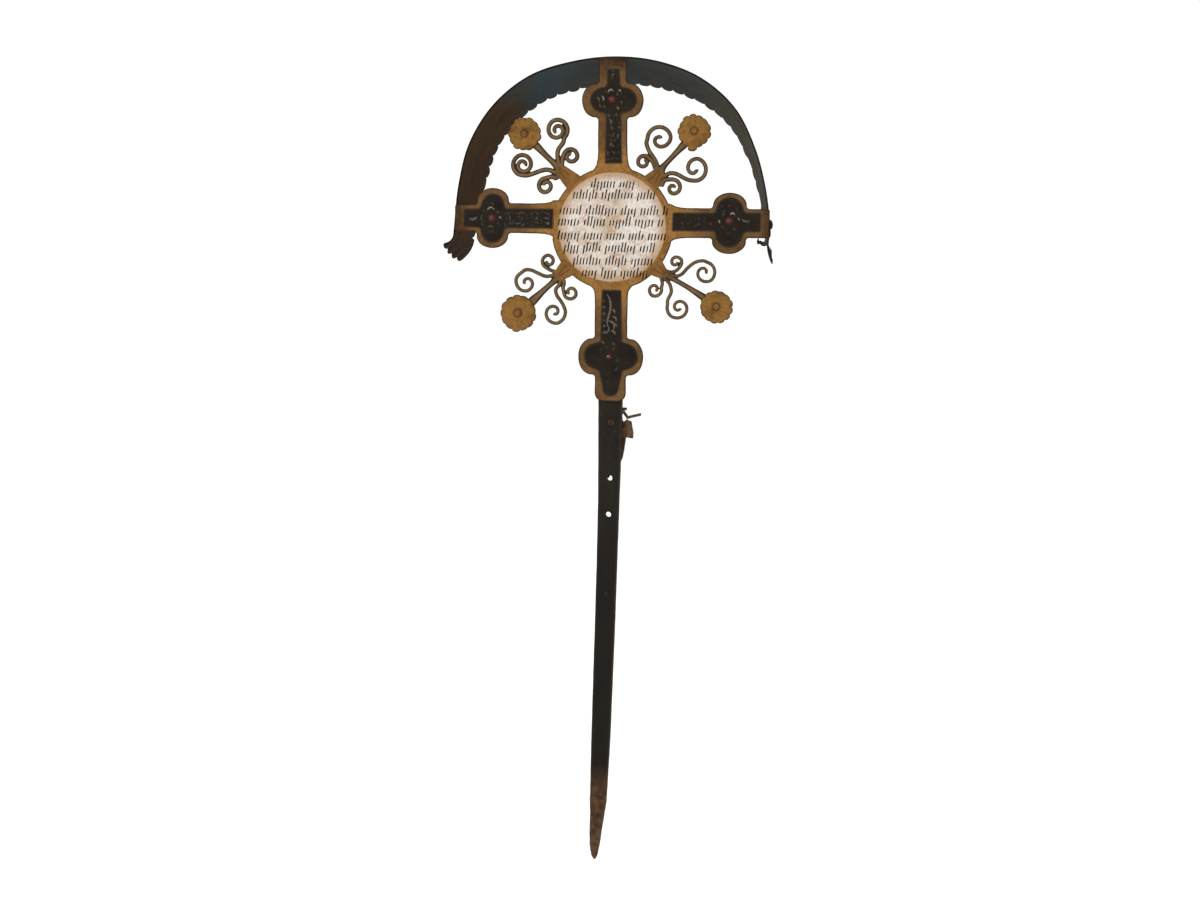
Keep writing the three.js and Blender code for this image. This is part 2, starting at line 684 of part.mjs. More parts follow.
// Rods from point to point, each reaching a little past its ends so that they join
function rods(points, radius, y) {
  return points.slice(1).map(([x, z], k) => {
    const from = new THREE.Vector3(points[k][0], y, points[k][1]);
    const to = new THREE.Vector3(x, y, z);
    const past = to.clone().sub(from).setLength(k + 2 < points.length ? radius * 0.6 : 0);
    return rod(from, to.add(past), radius, 8);
  });
}

function bracketGeometry() {
  const front = SHAFT_BACK + GAP;
  const strap = flatShape([
    [STRAP.left, STRAP.top],
    [STRAP.left, STRAP.bottom + 12],
    [STRAP.left + 4, STRAP.bottom + 3],
    [STRAP.left + 11, STRAP.bottom],
    [STRAP.left + 17, STRAP.bottom + 2],
    [STRAP.left + 21, STRAP.bottom + 9],
    [STRAP.left + 31, STRAP.bottom + 44],
    ...TONGUE,
    [STRAP.right, STRAP.top - 10],
    [STRAP.right - 7, STRAP.top],
  ]);
  const parts = [
    upright(strap, front, STRAP_THICK),
    upright(flatShape(LEAF), front, LEAF_THICK),
    ...rods(HOOK, HOOK_RADIUS, front + HOOK_RADIUS),
    ...rods(KNOB, HOOK_RADIUS, front + HOOK_RADIUS),
  ];
  return cut(joined(parts), [throughHole(UPPER_RIVET, RIVET_SHANK + GAP)]);
}

// Assembly

function piece(name, geometry, finish) {
  const mesh = new THREE.Mesh(geometry, new THREE.MeshStandardMaterial(FINISH[finish]));
  mesh.name = name;
  return mesh;
}

const cross = new THREE.Group();
cross.add(piece("shaft", shaftGeometry(), "black"));
cross.add(piece("shaft_rivet_upper", shaftRivet(UPPER_RIVET, 6.8, SHAFT_BACK + GAP + STRAP_THICK), "rust"));
cross.add(piece("shaft_rivet_lower", shaftRivet(LOWER_RIVET, 6, SHAFT_BACK), "black"));
cross.add(piece("bracket", bracketGeometry(), "rust"));
cross.add(piece("cross_plate", crossPlateGeometry(), "gold"));
cross.add(piece("roof", cut(roofGeometry(), RIVETED_ARMS.map(roofRivetHole)), "slate"));
for (const [name, headHeight] of Object.entries(ROOF_RIVET_HEADS)) {
  cross.add(piece(`roof_rivet_${name}`, roofRivet(ARMS[name], headHeight), "black"));
}
for (const [name, spray] of Object.entries(SPRAYS)) {
  cross.add(piece(name, sprayGeometry(spray), "gold"));
}

export default cross;
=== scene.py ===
import math
import random

import bmesh
import bpy
import numpy as np
from mathutils import Matrix, Vector, noise
from mathutils.geometry import delaunay_2d_cdt


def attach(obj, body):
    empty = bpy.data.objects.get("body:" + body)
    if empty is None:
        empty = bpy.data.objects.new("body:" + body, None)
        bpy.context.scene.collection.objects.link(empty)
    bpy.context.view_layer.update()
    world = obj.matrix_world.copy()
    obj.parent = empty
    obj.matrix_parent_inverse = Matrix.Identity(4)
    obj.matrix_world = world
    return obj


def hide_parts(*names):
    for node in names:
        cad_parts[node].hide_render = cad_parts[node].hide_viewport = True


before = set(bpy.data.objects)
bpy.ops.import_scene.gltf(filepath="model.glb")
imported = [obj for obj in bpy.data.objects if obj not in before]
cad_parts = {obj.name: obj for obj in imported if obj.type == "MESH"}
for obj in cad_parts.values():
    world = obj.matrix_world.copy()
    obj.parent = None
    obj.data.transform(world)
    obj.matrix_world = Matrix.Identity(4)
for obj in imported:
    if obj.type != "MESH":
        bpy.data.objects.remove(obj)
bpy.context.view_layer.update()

# A painted wrought-iron grave cross. Lengths in this script are millimetres, in the CAD's frame,
# until a mesh is made, which is in metres.
MM = 0.001

# Dimensions repeated from the part's source
GAP = 0.3
SHAFT_FRONT = -6.0
SHAFT_BACK = 6.0
PLATE_THICK = 4.0
PLATE_BACK = SHAFT_FRONT - GAP
PLATE_FRONT = PLATE_BACK - PLATE_THICK
RING_Z = 1099.0
RING_RADIUS = 121.0
FILLET = 6.0
FLARE = 30.0
DISC_RADIUS = 107.0
DISC_Z = 1101.5

ARMS = {
    "right": dict(turn=0, offset=12, lean=0, root=32, neck=29, lobe_at=231.5, lobe_half=33,
                  reach=59.5, stub=28, end=309.5, corner=4),
    "top": dict(turn=90, offset=-1.5, lean=0.022, root=32, neck=29, lobe_at=250, lobe_half=33,
                reach=61, stub=27.5, end=334, corner=3),
    "left": dict(turn=180, offset=-18.5, lean=0, root=32, neck=29.5, lobe_at=241, lobe_half=32,
                 reach=59.5, stub=26.5, end=318, corner=5),
    "bottom": dict(turn=270, offset=0.3, lean=0.012, root=33.5, neck=32.5, lobe_at=253, lobe_half=36,
                   reach=65, stub=31, end=341.5, corner=16),
}

# Dark painted panels on the arms, each inside its arm's outline
PANELS = {
    "right": dict(start=121, root=17.2, neck=16.6, shift=2, lobe_at=231.7, lobe_half=26, reach=48,
                  stub=18, tip=17.5, end=291.5, corner=2.5),
    "top": dict(start=128, root=16.1, neck=13.6, shift=-1.8, lobe_at=250.5, lobe_half=24, reach=45.3,
                stub=12.5, tip=11, end=310, corner=2.5),
    "left": dict(start=119, root=18.5, neck=18.2, shift=0.6, lobe_at=240.6, lobe_half=23, reach=47.7,
                 stub=17.6, tip=17, end=299, corner=2.5),
    "bottom": dict(start=122, root=18.3, neck=20.5, shift=0.8, lobe_at=252, lobe_half=26, reach=53,
                   stub=21.5, tip=14.5, end=330, corner=13),
}

TAB_HALF_WIDTH = 20.0
TAB_REAR = 18.0
ROOF_RIVET_AT = 8.0
ROOF_RIVET_HEADS = {"right": 6.0, "top": 3.0, "left": 3.5}
ROOF_RIVET_RADIUS = 9.5

ROOF_RADII = [312, 311, 320, 334, 339, 337.5, 336.5, 339, 346.5, 345.5, 337.5, 324.5, 321]
ROOF_THICK = 3.0
ROOF_FRONT = PLATE_BACK + GAP
ROOF_REAR = 124.0
SPLAY = {"right": 15.0, "left": 21.0, "top": 30.0}
SCALLOPS = 41
SCALLOP_DEPTH = 11.0
FOOT_PETALS = 4
WAIST_REACH = 50.0
FEET = {
    "left": dict(neck=(-320.5, 1086), lengths=(30, 38, 46, 49), bends=(20, 27, 27, 26), waist=26, flute=3),
    "right": dict(neck=(308.5, 1084), lengths=(48, 20, 12, 8), bends=(16, 12, -6, -14), waist=14, flute=2.5),
}

# Height, centre, width and depth of the shaft's sections
SHAFT = [
    (-171, -7.5, 5, 5), (-163, -7.5, 13, 8), (-142, -7.5, 20.5, 10), (-111, -6, 25, 12), (-80, -3.5, 29, 12),
    (-50, -2.2, 34, 12), (74, 0.2, 38.5, 12), (196, 1.8, 40, 12), (318, 3.4, 41, 12), (439, 4.5, 41.5, 12),
    (560, 5.2, 43, 12), (619, 5, 45, 12), (755, 4.3, 48.5, 12), (985, 2, 49, 12),
]
RIVET_HEAD = 3.5
BOLT_HOLE_RADIUS = 5.6
BOLT_HOLES = [(6.4, 604.7), (5.4, 531.5)]
UPPER_RIVET = (6.8, 716)
LOWER_RIVET = (5.7, 372.5)
RIVET_SHANK = 4.2
RIVET_TAIL_RADIUS = 7.0
RIVET_TAIL_HEIGHT = 2.5
STRAP_THICK = 4.0

# Sprays: each scroll is (via points, eye, entry angle, hand, outer, inner, hold, closed, sweep).
# The upper left one has slightly narrower tines than its solid, and its large coils close sooner.
TINE_DEPTH = 7.0
COIL_STEP = 21
SMOOTHING_LOSS = 0.45
SPRAYS = {
    "upper_left": dict(
        root=(-103, 1211), width=8.2, rosette=(-178, 1283), radius=33.5,
        stem=[(-75, 1185.5, 38), (-99, 1207.5, 26), (-116, 1224, 13), (-135, 1241.5, 11.5),
              (-154, 1260, 15)],
        scrolls=[
            ([(-107.5, 1224.5), (-111, 1240.5), (-109, 1253.5), (-100.5, 1265.5)],
             (-112.5, 1290), -45, 1, 20.5, 4, 160, 650, 650),
            ([(-101.5, 1227), (-100, 1238)], (-85, 1239.5), 145, -1, 13.6, 4, 160, 420, 435),
            ([(-115.5, 1208), (-125.5, 1212), (-138, 1212.5), (-155.5, 1206.5), (-169.5, 1202)],
             (-180, 1222), 265, -1, 20.2, 4, 160, 650, 650),
            ([(-112.5, 1197), (-121.5, 1199)], (-133, 1182), 95, 1, 14.2, 4.5, 150, 440, 450),
        ],
    ),
    "upper_right": dict(
        root=(89.5, 1206), width=7.6, rosette=(158.5, 1288.5), radius=33,
        stem=[(74, 1187, 38), (89.5, 1204, 27), (100, 1220, 12.5), (120.5, 1242.5, 10.5), (142, 1266, 16.5)],
        scrolls=[
            ([(89, 1217.5), (83, 1232.5), (71.5, 1249), (65.5, 1264)],
             (90, 1273.5), 180, -1, 23, 4, 180, 410, 530),
            ([(83.5, 1217.5), (79, 1228)], (61.5, 1229), 35, 1, 11.8, 3.5, 170, 400, 420),
            ([(102, 1202), (113, 1207), (126, 1205.5), (141.5, 1197.5), (153, 1193.5)],
             (161.5, 1214), 285, 1, 21.8, 4, 160, 370, 450),
            ([(97, 1184), (102.5, 1193)], (120, 1178), 100, -1, 17.5, 3.5, 0, 420, 450),
        ],
    ),
    "lower_left": dict(
        root=(-98, 1009), width=6.4, rosette=(-184, 929), radius=37,
        stem=[(-81.5, 1024.5, 40), (-97, 1010, 29), (-113, 993.5, 13), (-132, 976, 11.5),
              (-154.5, 954.5, 18)],
        scrolls=[
            ([(-113.5, 1013), (-122, 1016)], (-124.5, 1032), 225, -1, 12.6, 3.5, 130, 410, 430),
            ([(-113.5, 1005), (-130, 1003), (-147, 1009.5), (-159, 1014.5), (-171, 1015)],
             (-168.5, 989.5), 120, 1, 22.4, 4, 40, 430, 460),
            ([(-101.5, 988), (-109, 977), (-106.5, 965.5), (-98, 954)],
             (-111, 932), 30, -1, 22.4, 3.5, 110, 470, 510),
            ([(-92.5, 991.5), (-94.5, 981)], (-79.5, 972), 185, 1, 13, 3.5, 140, 400, 420),
        ],
    ),
    "lower_right": dict(
        root=(103.5, 1014), width=6, rosette=(210.5, 948), radius=33,
        stem=[(83.5, 1028.5, 42), (99, 1016, 28), (119, 1004.5, 11.5), (152, 986.5, 9.5), (183, 967.5, 14)],
        scrolls=[
            ([(110, 1016), (121.5, 1014.5), (131.5, 1018.5)],
             (128.5, 1034), -35, 1, 12.2, 3.5, 60, 385, 410),
            ([(114, 1010.5), (130.5, 1007), (142, 1011.5), (153, 1023.5), (166.5, 1034), (181.5, 1037.5)],
             (185.5, 1015), 75, -1, 20.4, 3.5, 130, 430, 480),
            ([(101, 1003.5), (103.5, 993)], (89, 980.5), 15, -1, 13.4, 3.2, 130, 420, 450),
            ([(108.5, 1002), (118, 991), (121.5, 976), (115, 960)],
             (137, 945.5), 165, 1, 23, 4, 60, 490, 540),
        ],
    ),
}
SPRAY_VOXEL = 1.05
BRACKET_VOXEL = 0.9
PALM_FOLDS = (-5.0, 3.5)

ROSETTE_PETALS = 13
ROSETTE_BACK = 1.8
LONG_PETAL = {"upper_right": (265, 6)}  # angle and extra length
# Rings of a rosette, as shares of its radius, close together where the surface turns
ROSETTE_RINGS = [
    0.04, 0.1, 0.14, 0.165, 0.19, 0.24, 0.32, 0.42, 0.52, 0.62,
    0.7, 0.77, 0.83, 0.88, 0.92, 0.95, 0.975, 0.99, 1,
]


# Numbers

def mix(a, b, t):
    return a + (b - a) * t


def clamp(v, low, high):
    return np.minimum(np.maximum(v, low), high)


def smoothstep(v, low, high):
    t = clamp((v - low) / (high - low), 0.0, 1.0)
    return t * t * (3 - 2 * t)


def lumps(x, y, z, size, octaves=3):
    """Smooth noise from -1 to 1 at a point, with features about as large as size."""
    return noise.fractal(Vector((x / size, y / size, z / size)), 0.9, 2.1, octaves)


def spline(points, count):
    """Points of a uniform Catmull-Rom curve, count steps from point to point."""
    p = np.asarray(points, float)
    p = np.vstack([p[:1], p, p[-1:]])
    t = np.arange(count)[:, None] / count
    rows = []
    for a, b, c, d in zip(p, p[1:], p[2:], p[3:]):
        v0, v1 = (c - a) / 2, (d - b) / 2
        rows.append((2 * b - 2 * c + v0 + v1) * t**3 + (3 * c - 3 * b - 2 * v0 - v1) * t**2 + v0 * t + b)
    return np.vstack([*rows, p[-1:]])


def arc(centre, radii, start, stop, steps):
    angle = np.radians(np.linspace(start, stop, steps + 1))
    return np.column_stack([centre[0] + radii[0] * np.cos(angle), centre[1] + radii[1] * np.sin(angle)])


def resampled(loop, step):
    """A closed loop with no edge longer than step, its own corners kept."""
    rows = []
    for a, b in zip(loop, np.roll(loop, -1, axis=0)):
        parts = max(1, math.ceil(np.linalg.norm(b - a) / step))
        rows.append(a + (b - a) * np.arange(parts)[:, None] / parts)
    return np.vstack(rows)


def outward(loop):
    """Outward unit normals of a counter-clockwise loop."""
    along = np.roll(loop, -1, axis=0) - np.roll(loop, 1, axis=0)
    normal = np.column_stack([along[:, 1], -along[:, 0]])
    return normal / np.linalg.norm(normal, axis=1, keepdims=True)


def line_distance(points, path):
    """Distance of every point to a path, and the nearest place on it as a share of its length."""
    best = np.full(len(points), 1e9)
    place = np.zeros(len(points))
    for k, (a, b) in enumerate(zip(path[:-1], path[1:])):
        side = b - a
        t = clamp(((points - a) @ side) / max(side @ side, 1e-9), 0, 1)
        gap = np.linalg.norm(points - a - t[:, None] * side, axis=1)
        place = np.where(gap < best, (k + t) / (len(path) - 1), place)
        best = np.minimum(best, gap)
    return best, place


def inside(points, loop):
    """Even-odd test of points against a closed loop."""
    found = np.zeros(len(points), bool)
    x, y = points[:, 0], points[:, 1]
    for (ax, ay), (bx, by) in zip(loop, np.roll(loop, -1, axis=0)):
        if ay != by:
            crosses = (ay > y) != (by > y)
            found ^= crosses & (x < (bx - ax) * (y - ay) / (by - ay) + ax)
    return found


def signed_distance(points, loop):
    """Distance to a closed loop, positive inside."""
    gap, _ = line_distance(points, np.vstack([loop, loop[:1]]))
    return np.where(inside(points, loop), gap, -gap)


# Colours and materials

def paint(red, green, blue):
    """A display colour of 0 to 255 as the linear colour that nodes take."""
    def linear(c):
        c /= 255
        return c / 12.92 if c <= 0.04045 else ((c + 0.055) / 1.055) ** 2.4
    return (linear(red), linear(green), linear(blue), 1.0)


class Finish:
    """A material built from nodes, with short names for the ones used here."""

    def __init__(self, name, metallic=0.0, specular=0.3):
        self.material = bpy.data.materials.new(name)
        self.material.use_nodes = True
        self.tree = self.material.node_tree
        self.shader = self.tree.nodes["Principled BSDF"]
        self.shader.inputs["Metallic"].default_value = metallic
        self.shader.inputs["Specular IOR Level"].default_value = specular
        self.place = self.node("ShaderNodeTexCoord").outputs["Object"]

    def node(self, kind, **settings):
        made = self.tree.nodes.new(kind)
        for name, value in settings.items():
            setattr(made, name, value)
        return made

    def put(self, socket, value):
        if isinstance(value, bpy.types.NodeSocket):
            self.tree.links.new(value, socket)
        else:
            socket.default_value = value

    def attribute(self, name, output="Fac"):
        return self.node("ShaderNodeAttribute", attribute_name=name).outputs[output]

    def stretched(self, x, y, z):
        made = self.node("ShaderNodeMapping")
        self.put(made.inputs["Vector"], self.place)
        made.inputs["Scale"].default_value = (x, y, z)
        return made.outputs["Vector"]

    def noise(self, scale, detail=4.0, rough=0.55, vector=None, twist=0.0):
        made = self.node("ShaderNodeTexNoise")
        self.put(made.inputs["Vector"], self.place if vector is None else vector)
        made.inputs["Scale"].default_value = scale
        made.inputs["Detail"].default_value = detail
        made.inputs["Roughness"].default_value = rough
        made.inputs["Distortion"].default_value = twist
        return made.outputs["Fac"]

    def cells(self, scale, feature="DISTANCE_TO_EDGE", vector=None):
        made = self.node("ShaderNodeTexVoronoi", feature=feature)
        self.put(made.inputs["Vector"], self.place if vector is None else vector)
        made.inputs["Scale"].default_value = scale
        return made.outputs["Distance"]

    def math(self, operation, a, b=0.0, c=0.0):
        made = self.node("ShaderNodeMath", operation=operation)
        for socket, value in zip(made.inputs, (a, b, c)):
            self.put(socket, value)
        return made.outputs[0]

    def band(self, value, low, high, start=0.0, stop=1.0):
        made = self.node("ShaderNodeMapRange", interpolation_type="SMOOTHSTEP")
        for socket, number in zip(made.inputs, (value, low, high, start, stop)):
            self.put(socket, number)
        return made.outputs[0]

    def mixed(self, share, a, b, blend="MIX"):
        made = self.node("ShaderNodeMix", data_type="RGBA", blend_type=blend)
        self.put(made.inputs[0], share)
        self.put(made.inputs[6], a)
        self.put(made.inputs[7], b)
        return made.outputs[2]

    def over(self, color, mask, share, red, green, blue):
        """A colour of 0 to 255 laid over another where the mask is, by a share at most."""
        return self.mixed(self.math("MULTIPLY", mask, share), color, paint(red, green, blue))

    def spots(self, color, noise, band, share, red, green, blue):
        """Spots of a colour where a noise passes through a band."""
        return self.over(color, self.band(self.noise(*noise), *band), share, red, green, blue)

    def grey(self, value, low, high):
        return self.mixed(value, (low, low, low, 1), (high, high, high, 1))

    def ramp(self, value, *stops):
        """A colour ramp from (place, red, green, blue) stops."""
        stops = [(place, paint(*rgb)) for place, *rgb in stops]
        made = self.node("ShaderNodeValToRGB")
        self.put(made.inputs["Fac"], value)
        elements = made.color_ramp.elements
        elements[0].position, elements[0].color = stops[0]
        elements[1].position, elements[1].color = stops[-1]
        for place, color in stops[1:-1]:
            elements.new(place).color = color
        return made.outputs["Color"]

    def bump(self, *heights):
        """Bumps from (height, depth in millimetres) pairs, one over the other."""
        normal = None
        for height, depth in heights:
            made = self.node("ShaderNodeBump")
            made.inputs["Strength"].default_value = 1.0
            made.inputs["Distance"].default_value = depth * MM
            self.put(made.inputs["Height"], height)
            if normal is not None:
                self.put(made.inputs["Normal"], normal)
            normal = made.outputs["Normal"]
        self.put(self.shader.inputs["Normal"], normal)

    def done(self, color, roughness):
        self.put(self.shader.inputs["Base Color"], color)
        self.put(self.shader.inputs["Roughness"], roughness)
        return self.material


def cross_paint():
    """Ochre border, near-black panels with ornament and a cream disc, by the mesh's own distances."""
    f = Finish("worn_oil_paint", specular=0.08)
    wander = f.math("MULTIPLY_ADD", f.noise(160, 5), 1.6, -0.8)
    coarse = f.math("MULTIPLY_ADD", f.noise(45, 3), 1.6, -0.8)
    rim = f.math("ADD", f.attribute("rim"), f.math("MULTIPLY", wander, 0.7))
    panel = f.math("ADD", f.attribute("panel"), f.math("MULTIPLY", wander, 0.9))
    disc = f.math("ADD", f.attribute("disc"), f.math("ADD", wander, f.math("MULTIPLY", coarse, 1.6)))

    grain = f.noise(26, 6, 0.62)
    near = f.ramp(
        grain,
        (0.3, 120, 82, 36), (0.45, 146, 103, 50), (0.58, 158, 114, 60), (0.72, 134, 90, 42),
    )
    far = f.ramp(
        grain,
        (0.3, 76, 53, 29), (0.45, 97, 70, 41), (0.58, 111, 84, 52), (0.72, 88, 59, 32),
    )
    gold = f.mixed(f.band(f.attribute("disc"), -20, -90), near, far)
    gold = f.spots(gold, (420, 4, 0.75), (0.48, 0.66), 0.5, 72, 48, 24)
    gold = f.spots(gold, (95, 4, 0.65), (0.48, 0.66), 0.38, 92, 58, 28)
    glint = f.band(f.noise(380, 3, 0.7, f.stretched(1, 1, 1.3)), 0.56, 0.72)
    gold = f.over(gold, glint, 0.35, 190, 152, 92)
    gold = f.over(gold, f.attribute("redness"), f.band(f.noise(70, 4), 0.3, 0.62, 0.55, 0.95), 44, 29, 20)
    edge = f.band(rim, 3.0, 0.9)
    gold = f.over(gold, edge, 0.95, 44, 29, 17)
    shade = f.band(f.math("ABSOLUTE", f.math("ADD", panel, 0.8)), 2.2, 0.3)
    gold = f.over(gold, shade, 0.7, 60, 42, 26)

    black = f.ramp(
        f.noise(34, 5, 0.6),
        (0.3, 27, 22, 19), (0.5, 35, 29, 22), (0.64, 40, 33, 23), (0.75, 31, 34, 32),
    )
    near_edge = f.band(panel, 7.0, 1.0)
    tint = f.ramp(f.noise(18, 2), (0.34, 40, 29, 28), (0.5, 33, 36, 40), (0.64, 44, 38, 28))
    black = f.mixed(f.math("MULTIPLY", near_edge, 0.6), black, tint)
    black = f.spots(black, (300, 4, 0.7), (0.6, 0.75), 0.3, 92, 80, 66)
    wear = f.band(f.noise(190, 4, 0.7), 0.26, 0.5, 0.45, 1.0)
    # This layer holds the painted flowers and a painted highlight on each red flower centre.
    ornament = f.attribute("ornament", "Color")
    cover = f.math("MULTIPLY", f.math("MULTIPLY", f.attribute("ornament", "Alpha"), wear), 0.85)
    black = f.mixed(cover, black, ornament)

    cream = f.ramp(
        f.noise(30, 5, 0.6, twist=0.6),
        (0.28, 184, 162, 137), (0.42, 213, 200, 185), (0.58, 230, 221, 211), (0.74, 202, 184, 166),
    )
    blotch = f.band(f.noise(20, 4, 0.65, f.stretched(1, 1, 1.2)), 0.52, 0.68)
    cream = f.over(cream, blotch, 0.55, 196, 156, 118)
    cream = f.spots(cream, (13, 3, 0.6), (0.5, 0.62), 0.35, 214, 182, 166)
    cracks = f.band(f.cells(105, vector=f.stretched(1, 1, 0.8)), 0.07, 0.0)
    cracks = f.math("MULTIPLY", cracks, f.band(f.noise(24, 3), 0.4, 0.56))
    cream = f.over(cream, cracks, 0.7, 146, 116, 84)
    cream = f.spots(cream, (130, 4, 0.7), (0.5, 0.66), 0.35, 172, 146, 118)
    halo = f.band(disc, 24.0, 0.5)
    cream = f.over(cream, halo, 0.75, 176, 140, 100)

    color = f.mixed(f.band(panel, -0.7, 0.7), gold, black)
    color = f.mixed(f.band(disc, -0.9, 0.9), color, cream)
    back = f.mixed(f.band(f.noise(22, 5), 0.42, 0.62), paint(46, 38, 30), paint(74, 50, 32))
    color = f.mixed(f.band(f.attribute("front"), 0.2, 0.8), back, color)

    f.bump(
        (f.noise(14, 3), 0.8),
        (f.noise(240, 5, 0.65), 0.12),
        (f.math("MULTIPLY", cover, f.noise(500, 2)), 0.12),
        (f.band(panel, -1.5, 1.5, 0.0, 1.0), -0.1),
    )
    rough = f.grey(f.noise(60, 4), 0.5, 0.72)
    return f.done(color, rough)


def tine_paint():
    """Olive gold along the middle of a tine, and painted shade in dark brown along its sides where the
    rounded bar turns from the light.
    """
    f = Finish("worn_gold_paint_with_painted_shade", specular=0.14)
    side = f.math("ADD", f.attribute("side"), f.math("MULTIPLY_ADD", f.noise(90, 4), 0.5, -0.25))
    gold = f.ramp(
        f.noise(40, 5, 0.6),
        (0.3, 84, 64, 39), (0.46, 106, 83, 53), (0.6, 120, 96, 64), (0.74, 96, 72, 44),
    )
    warm = f.ramp(
        f.noise(34, 5, 0.6),
        (0.3, 96, 64, 29), (0.5, 124, 86, 40), (0.66, 138, 97, 48), (0.76, 104, 67, 31),
    )
    gold = f.mixed(f.attribute("palm"), gold, warm)
    brown = f.ramp(f.noise(60, 4), (0.35, 38, 28, 20), (0.65, 62, 48, 33))
    # Painted shade: the tine darkens to brown toward its sides, by the side attribute.
    color = f.mixed(f.band(side, 0.3, 0.66), gold, brown)
    # Painted shade darkens the creases where tines meet and the fold lines of the palm.
    color = f.over(color, f.attribute("painted_crease_shade"), 0.85, 58, 38, 22)
    color = f.spots(color, (420, 3, 0.7), (0.56, 0.72), 0.4, 70, 52, 32)
    f.bump((f.noise(70, 4), 0.35), (f.noise(330, 5, 0.65), 0.12))
    return f.done(color, f.grey(f.noise(80, 4), 0.5, 0.75))


def rosette_paint():
    f = Finish("worn_ochre_paint", specular=0.12)
    ochre = f.ramp(
        f.noise(34, 6, 0.62),
        (0.3, 98, 66, 28), (0.45, 130, 92, 41), (0.6, 144, 103, 49), (0.74, 110, 73, 32),
    )
    ochre = f.spots(ochre, (110, 4, 0.65), (0.46, 0.64), 0.42, 84, 62, 30)
    bright = f.band(f.noise(150, 3, 0.6, f.stretched(1.3, 1, 1)), 0.56, 0.7)
    ochre = f.over(ochre, bright, 0.4, 170, 124, 60)
    rim = f.math("ADD", f.attribute("rim"), f.math("MULTIPLY_ADD", f.noise(140, 4), 1.6, -0.8))
    color = f.mixed(f.band(rim, 3.0, 0.4, 0.0, 0.9), ochre, paint(54, 35, 18))
    # Painted shade darkens the grooves between the petals and the ring round the boss.
    color = f.over(color, f.attribute("groove"), 0.6, 72, 48, 24)
    color = f.spots(color, (430, 4, 0.7), (0.55, 0.72), 0.45, 86, 60, 32)
    f.bump((f.noise(60, 4), 0.5), (f.noise(300, 5, 0.65), 0.15))
    return f.done(color, f.grey(f.noise(80, 4), 0.5, 0.72))


def roof_paint():
    """Remains of slate-grey paint over brown rust film, in streaks along the strip."""
    f = Finish("weathered_roof_sheet", specular=0.03)
    along = f.attribute("along")
    depth = f.attribute("depth")
    spread = f.node("ShaderNodeCombineXYZ")
    f.put(spread.inputs[0], f.math("MULTIPLY", along, 5.0))
    f.put(spread.inputs[1], f.math("MULTIPLY", depth, 6.0))
    streaks = f.noise(2.2, 5, 0.6, spread.outputs[0], 0.3)
    cloud = f.noise(9, 4, 0.6)
    slate = f.ramp(streaks, (0.3, 42, 42, 38), (0.5, 52, 54, 50), (0.68, 44, 51, 55))
    brown = f.ramp(streaks, (0.3, 46, 31, 17), (0.5, 62, 43, 24), (0.7, 46, 38, 28))
    olive = f.ramp(streaks, (0.3, 44, 40, 30), (0.5, 60, 56, 43), (0.7, 52, 49, 38))
    blue = f.band(f.math("ABSOLUTE", f.math("SUBTRACT", along, 0.64)), 0.09, 0.02)
    blue = f.math("MULTIPLY", blue, f.band(cloud, 0.4, 0.56, 0.35, 0.9))
    leftward = f.band(f.math("MULTIPLY_ADD", f.math("SUBTRACT", cloud, 0.5), 0.3, along), 0.6, 0.78)
    rightward = f.band(f.math("MULTIPLY_ADD", f.math("SUBTRACT", cloud, 0.5), 0.3, along), 0.38, 0.22)
    color = f.mixed(rightward, slate, olive)
    color = f.mixed(leftward, color, brown)
    foot = f.band(along, 1.0, 1.02)
    color = f.over(color, foot, 0.6, 34, 26, 19)
    color = f.mixed(blue, color, paint(46, 56, 62))
    color = f.spots(color, (42, 5, 0.65), (0.56, 0.7), 0.5, 60, 39, 23)
    outside = f.mixed(f.band(f.noise(16, 5, 0.6), 0.4, 0.62), paint(46, 43, 34), paint(56, 49, 35))
    color = f.mixed(f.attribute("outside"), color, outside)
    edge = f.band(f.attribute("edge"), 5.0, 0.6)
    color = f.over(color, edge, 0.85, 22, 18, 14)
    color = f.spots(color, (260, 4, 0.7), (0.56, 0.74), 0.3, 76, 68, 56)
    f.bump((f.noise(30, 4), 0.8), (f.noise(200, 5, 0.65), 0.18))
    return f.done(color, f.grey(f.noise(36, 4), 0.55, 0.82))


def shaft_paint():
    """Old black-brown paint on forged iron, rusted brown below the ground line."""
    f = Finish("old_black_paint", specular=0.1)
    height = f.node("ShaderNodeSeparateXYZ")
    f.put(height.inputs[0], f.place)
    black = f.ramp(
        f.noise(22, 5, 0.6, f.stretched(1, 1, 0.35)),
        (0.3, 27, 24, 20), (0.48, 34, 30, 26), (0.62, 41, 35, 29), (0.74, 31, 27, 21),
    )
    worn = f.band(f.noise(120, 5, 0.7, f.stretched(1, 1, 0.5)), 0.58, 0.74)
    black = f.over(black, worn, 0.45, 70, 58, 44)
    black = f.mixed(f.band(height.outputs["Z"], 0.62, 0.4, 0.0, 0.6), black, paint(22, 19, 15))
    rust = f.ramp(
        f.noise(60, 6, 0.65),
        (0.3, 46, 31, 19), (0.46, 70, 48, 31), (0.6, 92, 69, 48), (0.74, 62, 41, 25),
    )
    line = f.math("MULTIPLY_ADD", f.math("SUBTRACT", f.noise(34, 4), 0.5), 0.09, height.outputs["Z"])
    color = f.mixed(f.band(line, 0.03, -0.03), black, rust)
    rim = f.band(f.attribute("corner"), 0.25, 1.0, 0.0, 0.5)
    color = f.mixed(f.math("MULTIPLY", rim, f.noise(90, 4)), color, paint(92, 74, 54))
    f.bump((f.noise(26, 4), 0.9), (f.noise(150, 5, 0.65), 0.3))
    return f.done(color, f.grey(f.noise(50, 4), 0.48, 0.74))


